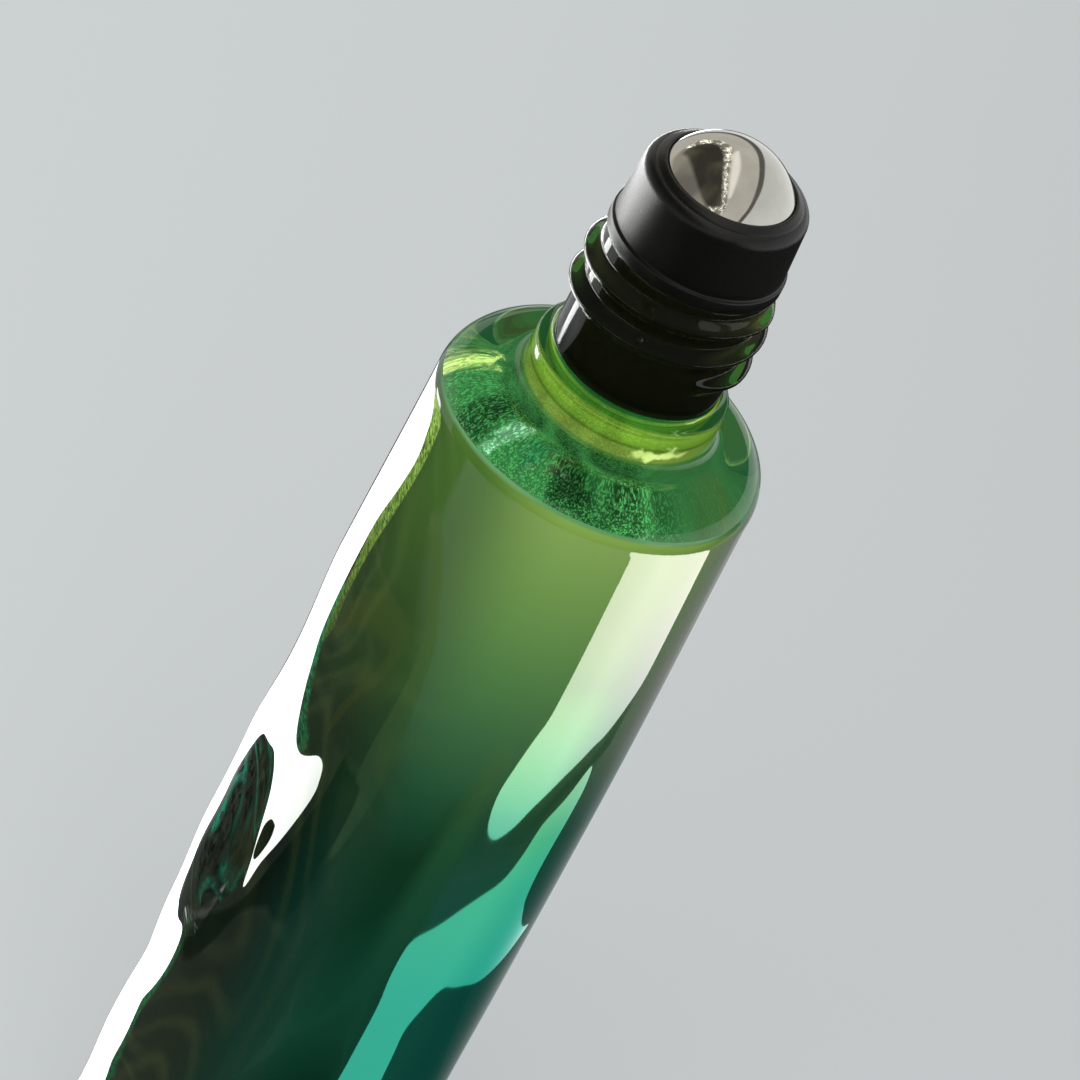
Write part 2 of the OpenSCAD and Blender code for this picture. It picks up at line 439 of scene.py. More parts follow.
@dataclass
class RollerHousing:
    """The black moulding: plug, flange, tapered cup, rounded rim and retaining lip."""

    lip_z: float
    flange_r: float = 6.77
    flange_t: float = 1.1
    side_r: float = 6.55
    rim_r: float = 6.35
    rim_round: float = 0.9
    rim_rise: float = 0.4
    height: float = 5.8
    skirt_r: float = 5.2
    skirt_l: float = 10.5
    skirt_t: float = 0.95
    ball_z: float = 104.7
    seat_r: float = 5.66
    feed_r: float = 1.3
    cup_t: float = 0.9
    soft: float = 0.15
    lead_in: float = 0.4
    plug_step: float = 0.1
    flange_ease: float = 1.2
    rim_ease: float = 0.02
    crown_share: float = 0.75
    seat_overlap: float = 2.0
    columns: int = 192

    def outline(self) -> Outline:
        """Lays out the moulding's outline.

        Returns:
            The points from the feed hole's lower edge, outside up and over the rim, and
            down the seat to the same edge.
        """
        flange_top = self.lip_z + self.flange_t
        opening_z = flange_top + self.height
        rim_z = opening_z - self.rim_rise
        opening_r = math.sqrt(self.seat_r ** 2 - (opening_z - self.ball_z) ** 2)
        low = self.lip_z - self.skirt_l
        cup_low = self.ball_z - self.seat_r - self.cup_t
        soft = self.soft
        inner = self.skirt_r - self.skirt_t
        start = math.degrees(math.asin((opening_z - self.ball_z) / self.seat_r))
        end = -90 + math.degrees(math.asin(self.feed_r / self.seat_r))
        points = [(self.feed_r, cup_low), (inner, cup_low), (inner, low + soft)]
        points += arc((inner + soft, low + soft), soft, 180, 270, 3)
        points += [(self.skirt_r - self.lead_in, low), (self.skirt_r, low + self.lead_in)]
        points += line((self.skirt_r, low + self.lead_in + self.plug_step),
                       (self.skirt_r, self.lip_z), 4)
        points += line((self.skirt_r + self.plug_step, self.lip_z),
                       (self.flange_r - soft, self.lip_z), 2)
        points += arc((self.flange_r - soft, self.lip_z + soft), soft, -90, 0, 4)
        points += arc((self.flange_r - soft, flange_top - soft), soft, 0, 90, 4)
        points += arc((self.side_r + soft, flange_top + soft), soft, 270, 180, 4)
        points += line((self.side_r, flange_top + soft * self.flange_ease),
                       (self.rim_r, rim_z - self.rim_round), 6)
        points += arc((self.rim_r - self.rim_round, rim_z - self.rim_round), self.rim_round,
                      0, 75, 12)
        points += line((self.rim_r - self.rim_round * self.crown_share, rim_z + self.rim_ease),
                       (opening_r + soft, opening_z), 3)
        points += arc((opening_r + soft, opening_z - soft), soft, 90, 150, 4)
        points += arc((0, self.ball_z), self.seat_r, start - self.seat_overlap, end, 40)
        points.append((self.feed_r, cup_low))
        return points

    def build(self) -> Object:
        """Builds the moulding as one closed turned mesh.

        Returns:
            The moulding's object.
        """
        housing = lathe("roller_cup", self.outline(), self.columns)
        housing.data.set_sharp_from_angle(angle=SHARP_ANGLE)
        return housing


@dataclass
class RollerBall:
    """The polished steel ball."""

    centre_z: float
    radius: float = 5.6
    rings: int = 96
    columns: int = 192

    def build(self) -> Object:
        """Builds the ball as a turned half circle.

        Returns:
            The ball's object.
        """
        outline = arc((0, self.centre_z), self.radius, -90, 90, self.rings)
        outline[0] = (0, self.centre_z - self.radius)
        outline[-1] = (0, self.centre_z + self.radius)
        return lathe("steel_ball", outline, self.columns)


@dataclass(frozen=True)
class PhotoCamera:
    """The photograph's camera: a long lens that looks down on the bottle, rolled sideways."""

    elevation: float = 33.985
    roll: float = 27.907
    across: float = -5.26
    up: float = -9.707
    distance: float = 1200.0
    focal_px: float = 16851.0
    picture_px: float = 1080.0
    sensor: float = 36.0
    nearest: float = 10.0
    farthest: float = 50000.0

    def place(self, pivot_z: float) -> None:
        """Makes the camera, aimed near a point of the axis.

        Args:
            pivot_z: Height of that point in millimetres.
        """
        data = bpy.data.cameras.new("camera")
        data.sensor_width = self.sensor
        data.lens = self.focal_px / self.picture_px * self.sensor
        data.clip_start = self.nearest * MM
        data.clip_end = self.farthest * MM
        camera = add_object("camera", data)
        tilt = math.radians(self.elevation)
        turn = math.radians(self.roll)
        back = Vector((0, -math.cos(tilt), math.sin(tilt)))
        level = Vector((1, 0, 0))
        rise = Vector((0, math.sin(tilt), math.cos(tilt)))
        right = level * math.cos(turn) + rise * math.sin(turn)
        above = rise * math.cos(turn) - level * math.sin(turn)
        place = Vector((0, 0, pivot_z)) + back * self.distance
        place += right * self.across + above * self.up
        rotation = Matrix((right, above, back)).transposed().to_4x4()
        camera.matrix_world = Matrix.Translation(place * MM) @ rotation
        bpy.context.scene.camera = camera


class NodeTree:
    """Short words for building a material's nodes."""

    def __init__(self, tree: bpy.types.NodeTree) -> None:
        """Starts on an empty tree."""
        self.tree = tree
        tree.nodes.clear()

    def feed(self, source: object, target: NodeSocket) -> None:
        """Feeds a socket of a node.

        Args:
            source: A socket, which is linked, or a plain value, which is set.
            target: The socket that is fed.
        """
        if isinstance(source, NodeSocket):
            self.tree.links.new(source, target)
        else:
            target.default_value = source

    def add(self, kind: str, **values: object) -> Node:
        """Adds a node.

        Args:
            kind: The node's type.
            values: Its properties by name, and its sockets where no property has the
                name, with _ for a space. A socket takes another socket or a value.

        Returns:
            The node.
        """
        node = self.tree.nodes.new(kind)
        for name, value in values.items():
            if hasattr(node, name):
                setattr(node, name, value)
            else:
                self.feed(value, node.inputs[name.replace("_", " ")])
        return node

    def join(self, node: Node, *values: object) -> Node:
        """Feeds a node's first sockets, in their order.

        Args:
            node: The node.
            values: Sockets or plain values.

        Returns:
            The same node.
        """
        for value, target in zip(values, node.inputs):
            self.feed(value, target)
        return node

    def math(self, operation: str, *values: object, clamp: bool = False) -> NodeSocket:
        """Adds a maths node on sockets or numbers and gives its result."""
        node = self.add("ShaderNodeMath", operation=operation, use_clamp=clamp)
        return self.join(node, *values).outputs[0]

    def vector(self, operation: str, *values: object) -> NodeSocket:
        """Adds a vector maths node on sockets or vectors and gives its result."""
        node = self.join(self.add("ShaderNodeVectorMath", operation=operation), *values)
        return node.outputs["Value" if operation == "LENGTH" else "Vector"]

    def scaled(self, vector: object, share: object) -> NodeSocket:
        """Multiplies a colour or a vector by a number and gives the result."""
        node = self.add("ShaderNodeVectorMath", operation="SCALE", Scale=share)
        return self.join(node, vector).outputs["Vector"]

    def bearing(self, place: NodeSocket) -> NodeSocket:
        """Adds the bearing of a place, 0 at the front and growing to the right.

        Args:
            place: The place's socket.

        Returns:
            The bearing's socket, in radians.
        """
        split = self.add("ShaderNodeSeparateXYZ", Vector=place)
        front = self.math("MULTIPLY", split.outputs["Y"], -1)
        return self.math("ARCTAN2", split.outputs["X"], front)

    def map_range(self, value: NodeSocket, source: Pair, target: Pair,
                  soft: bool = False) -> NodeSocket:
        """Maps one range onto another, held at its two ends.

        Args:
            value: The socket that is mapped.
            source: The two values that map onto the target's ends.
            target: The result's two ends.
            soft: Whether the result eases in and out.

        Returns:
            The result's socket.
        """
        node = self.add("ShaderNodeMapRange", Value=value,
                        interpolation_type="SMOOTHSTEP" if soft else "LINEAR")
        node.inputs["From Min"].default_value, node.inputs["From Max"].default_value = source
        node.inputs["To Min"].default_value, node.inputs["To Max"].default_value = target
        return node.outputs["Result"]

    def place(self, stretch: Triple = (1.0, 1.0, 1.0)) -> NodeSocket:
        """Adds the place on the piece in millimetres, stretched along its axes."""
        spot = self.add("ShaderNodeTexCoord").outputs["Object"]
        return self.vector("MULTIPLY", spot, tuple(share / MM for share in stretch))

    def ramp(self, value: NodeSocket, stops: tuple[tuple[float, float | Colour], ...]
             ) -> NodeSocket:
        """Adds a colour ramp over a range of values, held at its two ends.

        Args:
            value: The socket that the colour follows.
            stops: Each stop's value and its colour or grey, from the lowest up.

        Returns:
            The colour's socket.
        """
        low, high = stops[0][0], stops[-1][0]
        share = self.map_range(value, (low, high), (0, 1))
        node = self.add("ShaderNodeValToRGB", Fac=share)
        marks = node.color_ramp.elements
        while len(marks) > 1:
            marks.remove(marks[-1])
        for i, (place, tint) in enumerate(stops):
            part = (place - low) / (high - low)
            stop = marks[0] if i == 0 else marks.new(part)
            stop.position = part
            stop.color = (*tint, 1) if isinstance(tint, tuple) else (tint, tint, tint, 1)
        return node.outputs["Color"]

    def mix(self, share: NodeSocket, first: NodeSocket, second: NodeSocket) -> NodeSocket:
        """Blends two colours.

        Args:
            share: The second colour's share.
            first: The first colour.
            second: The second colour.

        Returns:
            The blend's socket.
        """
        node = self.add("ShaderNodeMix", data_type="RGBA")
        for socket, target in ((share, 0), (first, 6), (second, 7)):
            self.feed(socket, node.inputs[target])
        return node.outputs[2]

    def blend(self, share: NodeSocket, first: NodeSocket, second: NodeSocket) -> NodeSocket:
        """Blends two shaders and gives the blend."""
        return self.join(self.add("ShaderNodeMixShader"), share, first, second).outputs["Shader"]

    def glow(self, colour: object, strength: NodeSocket) -> NodeSocket:
        """Adds a shader that glows in a colour."""
        return self.add("ShaderNodeEmission", Color=colour, Strength=strength).outputs["Emission"]

    def principled(self, **values: object) -> NodeSocket:
        """Adds a Principled shader with sockets or values for its sockets."""
        return self.add("ShaderNodeBsdfPrincipled", **values).outputs["BSDF"]


def new_material(name: str, shade: Callable[[NodeTree], NodeSocket]) -> Material:
    """Makes a material.

    Args:
        name: The material's name.
        shade: Adds the material's nodes and gives the shader of its surface.

    Returns:
        The material.
    """
    material = bpy.data.materials.new(name)
    material.use_nodes = True
    nodes = NodeTree(material.node_tree)
    nodes.add("ShaderNodeOutputMaterial", Surface=shade(nodes))
    return material


class Effect:
    """A shader group, built once and placed in each material with its own values."""

    name: ClassVar[str]
    inputs: ClassVar[dict[str, Kind]] = {}
    outputs: ClassVar[dict[str, Kind]] = {}

    @staticmethod
    def wire(nodes: NodeTree, entry: NodeOutputs) -> dict[str, NodeSocket]:
        """Adds the group's nodes.

        Args:
            nodes: The group's own nodes.
            entry: The group's inputs, by name.

        Returns:
            The socket behind each output.
        """
        raise NotImplementedError

    @classmethod
    def put(cls, nodes: NodeTree, **values: object) -> NodeOutputs:
        """Places the group in a material.

        Args:
            nodes: The material's nodes.
            values: Sockets or values for the group's inputs.

        Returns:
            The group's outputs, by name.
        """
        group = bpy.data.node_groups.get(cls.name)
        if group is None:
            group = bpy.data.node_groups.new(cls.name, "ShaderNodeTree")
            for way, sockets in (("INPUT", cls.inputs), ("OUTPUT", cls.outputs)):
                for name, kind in sockets.items():
                    group.interface.new_socket(name, in_out=way, socket_type=kind.value)
            inside = NodeTree(group)
            made = cls.wire(inside, inside.add("NodeGroupInput").outputs)
            inside.add("NodeGroupOutput", **made)
        return nodes.add("ShaderNodeGroup", node_tree=group, **values).outputs


class WallPlace(Effect):
    """The height in millimetres and the bearing in degrees, 0 at the front."""

    name = "wall_place"
    outputs = {"Height": Kind.NUMBER, "Bearing": Kind.NUMBER}

    @staticmethod
    def wire(nodes: NodeTree, entry: NodeOutputs) -> dict[str, NodeSocket]:
        """Adds the group's nodes.

        Args:
            nodes: The group's own nodes.
            entry: The group's inputs, by name; not used, as the group has none.

        Returns:
            The socket behind each output.
        """
        place = nodes.add("ShaderNodeTexCoord").outputs["Object"]
        split = nodes.add("ShaderNodeSeparateXYZ", Vector=place)
        return {"Height": nodes.math("MULTIPLY", split.outputs["Z"], 1 / MM),
                "Bearing": nodes.math("MULTIPLY", nodes.bearing(place), math.degrees(1))}


class MirrorPlace(Effect):
    """A floor card's place as the bottle's wall mirrors it, in the picture's millimetres.

    The upright wall shows the distance from the bottle shortened and the bearing much
    more so.
    """

    name = "mirror_place"
    outputs = {"Place": Kind.VECTOR}
    shortening: ClassVar[float] = 0.56
    turn_reach: ClassVar[float] = 3.0

    @classmethod
    def wire(cls, nodes: NodeTree, entry: NodeOutputs) -> dict[str, NodeSocket]:
        """Adds the group's nodes.

        Args:
            nodes: The group's own nodes.
            entry: The group's inputs, by name; not used, as the group has none.

        Returns:
            The socket behind each output.
        """
        place = nodes.add("ShaderNodeNewGeometry").outputs["Position"]
        along = nodes.math("MULTIPLY", nodes.vector("LENGTH", place), cls.shortening / MM)
        across = nodes.math("MULTIPLY", nodes.bearing(place), cls.turn_reach)
        return {"Place": nodes.add("ShaderNodeCombineXYZ", X=along, Y=across).outputs["Vector"]}


class Glitter(Effect):
    """Fine specks: each cell of a grain gets its own brightness.

    Place and Grain are in millimetres, and Share is the share of cells that shine.
    """

    name = "glitter"
    inputs = {"Place": Kind.VECTOR, "Grain": Kind.NUMBER, "Share": Kind.NUMBER}
    outputs = {"Mask": Kind.NUMBER}

    @staticmethod
    def wire(nodes: NodeTree, entry: NodeOutputs) -> dict[str, NodeSocket]:
        """Adds the group's nodes.

        Args:
            nodes: The group's own nodes.
            entry: The group's inputs, by name.

        Returns:
            The socket behind each output.
        """
        fine = nodes.math("DIVIDE", 1.0, entry["Grain"])
        cells = nodes.add("ShaderNodeTexVoronoi", Vector=entry["Place"], Scale=fine)
        split = nodes.add("ShaderNodeSeparateColor", Color=cells.outputs["Color"])
        least = nodes.math("SUBTRACT", 1.0, entry["Share"])
        over = nodes.math("SUBTRACT", split.outputs[0], least)
        return {"Mask": nodes.math("DIVIDE", over, entry["Share"], clamp=True)}


class Smoke(Effect):
    """Soft clouds with flowing contour lines.

    Place and Size, the size of a cloud, are in millimetres, and Lines is the number of
    lines in a cloud. The cloud's thickness and its lines come out from 0 to 1.
    """

    name = "smoke"
    inputs = {"Place": Kind.VECTOR, "Size": Kind.NUMBER, "Lines": Kind.NUMBER}
    outputs = {"Cloud": Kind.NUMBER, "Contour": Kind.NUMBER}
    thickening: ClassVar[Pair] = (0.35, 0.65)
    line_edge: ClassVar[Pair] = (0.35, 1.0)

    @classmethod
    def wire(cls, nodes: NodeTree, entry: NodeOutputs) -> dict[str, NodeSocket]:
        """Adds the group's nodes.

        Args:
            nodes: The group's own nodes.
            entry: The group's inputs, by name.

        Returns:
            The socket behind each output.
        """
        scale = nodes.math("DIVIDE", 1.0, entry["Size"])
        noise = nodes.add("ShaderNodeTexNoise", Vector=entry["Place"], Scale=scale,
                          Detail=1.5, Roughness=0.45, Distortion=0.6).outputs["Fac"]
        turns = nodes.math("MULTIPLY", noise, entry["Lines"])
        wave = nodes.math("MULTIPLY_ADD", nodes.math("FRACT", turns), 2.0, -1.0)
        crest = nodes.math("ABSOLUTE", wave)
        return {"Cloud": nodes.map_range(noise, cls.thickening, (0, 1), soft=True),
                "Contour": nodes.map_range(crest, cls.line_edge, (0, 1), soft=True)}


class Grain(Effect):
    """An even, fine surface grain, given its size in millimetres."""

    name = "grain"
    inputs = {"Size": Kind.NUMBER}
    outputs = {"Value": Kind.NUMBER}
    contrast: ClassVar[Pair] = (0.3, 0.7)

    @classmethod
    def wire(cls, nodes: NodeTree, entry: NodeOutputs) -> dict[str, NodeSocket]:
        """Adds the group's nodes.

        Args:
            nodes: The group's own nodes.
            entry: The group's inputs, by name.

        Returns:
            The socket behind each output.
        """
        place = nodes.add("ShaderNodeTexCoord").outputs["Object"]
        scale = nodes.math("DIVIDE", 1 / MM, entry["Size"])
        noise = nodes.add("ShaderNodeTexNoise", Vector=place, Scale=scale, Detail=3.0,
                          Roughness=0.6)
        return {"Value": nodes.map_range(noise.outputs["Fac"], cls.contrast, (0, 1))}


class RaggedCloud(Effect):
    """A soft, ragged cloud of another colour over a colour.

    Centre and Reach are in millimetres, and Cover is how much of the colour below the
    cloud's middle hides.
    """

    name = "spot"
    inputs = {"Colour": Kind.COLOUR, "Tint": Kind.COLOUR, "Centre": Kind.VECTOR,
              "Reach": Kind.VECTOR, "Cover": Kind.NUMBER}
    outputs = {"Colour": Kind.COLOUR}
    raggedness: ClassVar[float] = 2.4
    edge: ClassVar[Pair] = (1.0, 0.35)

    @classmethod
    def wire(cls, nodes: NodeTree, entry: NodeOutputs) -> dict[str, NodeSocket]:
        """Adds the group's nodes.

        Args:
            nodes: The group's own nodes.
            entry: The group's inputs, by name.

        Returns:
            The socket behind each output.
        """
        place = nodes.place()
        noise = nodes.add("ShaderNodeTexNoise", Vector=place, Scale=0.9, Detail=2.0)
        sway = nodes.vector("MULTIPLY_ADD", noise.outputs["Color"], (cls.raggedness,) * 3, place)
        middle = nodes.vector("ADD", entry["Centre"], (cls.raggedness / 2,) * 3)
        away = nodes.vector("SUBTRACT", sway, middle)
        span = nodes.vector("LENGTH", nodes.vector("DIVIDE", away, entry["Reach"]))
        mask = nodes.map_range(span, cls.edge, (0, 1), soft=True)
        cover = nodes.math("MULTIPLY", mask, entry["Cover"])
        return {"Colour": nodes.mix(cover, entry["Colour"], entry["Tint"])}


@dataclass(frozen=True)
class Spot:
    """A soft cloud of colour in the enamel: its centre and reach in millimetres."""

    centre: Triple
    reach: Triple
    tint: Colour
    cover: float = 1.0

    def lay(self, nodes: NodeTree, colour: NodeSocket) -> NodeSocket:
        """Lays the cloud over a colour.

        Args:
            nodes: The material's nodes.
            colour: The colour's socket.

        Returns:
            The new colour's socket.
        """
        cloud = RaggedCloud.put(nodes, Colour=colour, Tint=(*self.tint, 1), Centre=self.centre,
                                Reach=self.reach, Cover=self.cover)
        return cloud["Colour"]


class Finish:
    """A finish of the bottle, which makes a material of its own name."""

    title: ClassVar[str]

    def shade(self, nodes: NodeTree) -> NodeSocket:
        """Adds the finish's nodes and gives the shader's socket."""
        raise NotImplementedError

    def make(self) -> Material:
        """Builds the material."""
        return new_material(self.title, self.shade)


@dataclass(frozen=True)
class LinerEnamelAndPaintedLight(Finish):
    """Green enamel on the chamber's wall, seen through the clear shoulder, with painted light: it
    glows in its own colour, and its bands, clouds and glitter are partly painted refraction,
    painted highlights and painted shadow.
    """

    title: ClassVar[str] = "green_enamel_and_painted_light"
    # Colours by height. The bright lime and pale bands from 73.2 mm and from 85.9 mm up are
    # painted refraction, as the collar shows it.
    tints: tuple[tuple[float, Colour], ...] = (
        (60.0, (0.005, 0.050, 0.020)),
        (70.0, (0.010, 0.090, 0.035)),
        (72.9, (0.012, 0.100, 0.036)),
        (73.2, (0.380, 0.500, 0.180)),
        (73.7, (0.260, 0.360, 0.110)),
        (74.2, (0.060, 0.110, 0.028)),
        (76.6, (0.050, 0.110, 0.026)),
        (78.6, (0.040, 0.120, 0.032)),
        (79.4, (0.032, 0.118, 0.038)),
        (82.2, (0.034, 0.122, 0.038)),
        (85.2, (0.030, 0.130, 0.036)),
        (85.9, (0.080, 0.180, 0.040)),
        (86.1, (0.160, 0.220, 0.052)),
        (87.1, (0.140, 0.210, 0.040)),
        (87.2, (0.030, 0.070, 0.010)),
        (87.35, (0.120, 0.220, 0.028)),
        (88.2, (0.180, 0.310, 0.045)),
        (88.3, (0.040, 0.100, 0.014)),
        (88.45, (0.270, 0.400, 0.060)),
        (88.8, (0.200, 0.340, 0.055)),
        (89.1, (0.010, 0.110, 0.034)),
        (89.5, (0.008, 0.080, 0.024)),
        # painted shadow: a near-black band on the bore where the plug meets it
        (89.6, (0.004, 0.008, 0.003)),
        (90.5, (0.003, 0.005, 0.002)),
    )
    # Ragged clouds of painted refraction and painted reflection, as the shoulder and collar show
    # them.
    spots: tuple[Spot, ...] = (
        Spot((-8.9, 1.0, 80.5), (0.7, 1.7, 2.2), (0.66, 0.60, 0.20), 0.9),
        Spot((-8.4, 4.6, 79.5), (0.8, 2.6, 1.8), (0.12, 0.20, 0.05), 0.7),
        Spot((-11.2, 4.0, 80.0), (2.2, 2.8, 3.0), (0.40, 0.48, 0.16)),
        Spot((-7.2, -0.4, 81.0), (1.2, 3.6, 1.8), (0.018, 0.070, 0.020)),
        Spot((-2.9, -6.3, 81.0), (1.8, 1.1, 2.4), (0.014, 0.092, 0.044), 0.75),
        Spot((-4.9, -5.3, 81.0), (1.9, 1.1, 1.5), (0.25, 0.37, 0.26), 0.9),
        Spot((-1.6, -6.7, 81.3), (2.4, 0.7, 1.2), (0.10, 0.13, 0.055), 0.8),
        Spot((0.4, -7.0, 80.2), (2.6, 1.7, 3.2), (0.010, 0.052, 0.012)),
        Spot((4.0, -5.7, 81.0), (2.4, 1.8, 2.6), (0.070, 0.225, 0.075), 0.9),
        Spot((5.2, -4.9, 81.0), (0.7, 1.2, 1.2), (0.008, 0.040, 0.012)),
        Spot((8.2, -1.2, 80.5), (2.0, 4.5, 2.4), (0.047, 0.098, 0.028), 0.9),
        Spot((8.6, 0.6, 80.4), (0.6, 2.2, 0.9), (0.110, 0.110, 0.030), 0.8),
        Spot((7.4, 8.2, 75.0), (3.6, 3.4, 5.0), (0.040, 0.118, 0.040)),
        Spot((-7.5, 8.6, 71.5), (3.8, 3.4, 4.6), (0.010, 0.080, 0.030)),
        Spot((-7.8, 8.6, 76.0), (3.0, 3.0, 1.8), (0.040, 0.065, 0.020), 0.85),
        # painted highlights: two pale yellow spots in the collar
        Spot((3.5, -3.4, 86.7), (2.3, 2.1, 0.8), (0.70, 0.78, 0.36)),
        Spot((4.4, -1.4, 88.6), (1.4, 1.5, 0.5), (0.90, 0.95, 0.50)),
    )
    # Strength of the enamel's glow in its own colour, which is painted light.
    glow: float = 0.9
    roughness: float = 0.5
    grain: float = 0.085
    share: float = 0.5
    # Brightness of the glitter's specks, which are painted sparkle.
    painted_sparkle: float = 1.7
    ground: float = -0.35
    speck_stretch: Triple = (1.0, 1.0, 2.6)
    cloud_stretch: Triple = (1.0, 1.0, 0.45)
    cloud_size: float = 3.5
    cloud_light: Pair = (-0.45, 0.35)
    foot_fade: Pair = (78.6, 79.4)
    top_fade: Pair = (85.2, 85.8)
    top_share: float = 0.4
    right_fade: Pair = (38.0, 64.0)
    right_share: float = 0.15
    left_fade: Pair = (-122.0, -97.0)
    left_share: float = 0.1

    def paint(self, nodes: NodeTree) -> NodeSocket:
        """Adds the enamel's colour with its clouds and glitter, which are painted refraction and
        painted sparkle, strongest at the front and fading on the right side and at the back.

        Args:
            nodes: The material's nodes.

        Returns:
            The colour's socket.
        """
        place = WallPlace.put(nodes)
        height, bearing = place["Height"], place["Bearing"]
        tint = nodes.ramp(height, self.tints)
        for spot in self.spots:
            tint = spot.lay(nodes, tint)
        specks = Glitter.put(nodes, Place=nodes.place(self.speck_stretch), Grain=self.grain,
                             Share=self.share)
        smoke = Smoke.put(nodes, Place=nodes.place(self.cloud_stretch), Size=self.cloud_size)
        foot = nodes.map_range(height, self.foot_fade, (0, 1))
        top = nodes.map_range(height, self.top_fade, (1, self.top_share))
        right = nodes.map_range(bearing, self.right_fade, (1, self.right_share))
        left = nodes.map_range(bearing, self.left_fade, (self.left_share, 1))
        near = nodes.math("MULTIPLY", right, left)
        weight = nodes.math("MULTIPLY", nodes.math("MULTIPLY", foot, near), top)
        patch = nodes.map_range(smoke["Cloud"], (0, 1), self.cloud_light)
        light = nodes.math("MULTIPLY_ADD", specks["Mask"], self.painted_sparkle, patch)
        change = nodes.math("MULTIPLY_ADD", light, weight, 1.0)
        return nodes.scaled(tint, nodes.math("MULTIPLY_ADD", weight, self.ground, change))

    def shade(self, nodes: NodeTree) -> NodeSocket:
        """Adds the enamel's nodes, with a glow in its own colour that is painted light.

        Args:
            nodes: The material's nodes.

        Returns:
            The shader's socket.
        """
        paint = self.paint(nodes)
        # painted light: the enamel glows in its own paint colour, though it is no lamp
        return nodes.principled(Base_Color=paint, Roughness=self.roughness,
                                Specular_IOR_Level=0.0, Emission_Color=paint,
                                Emission_Strength=self.glow)


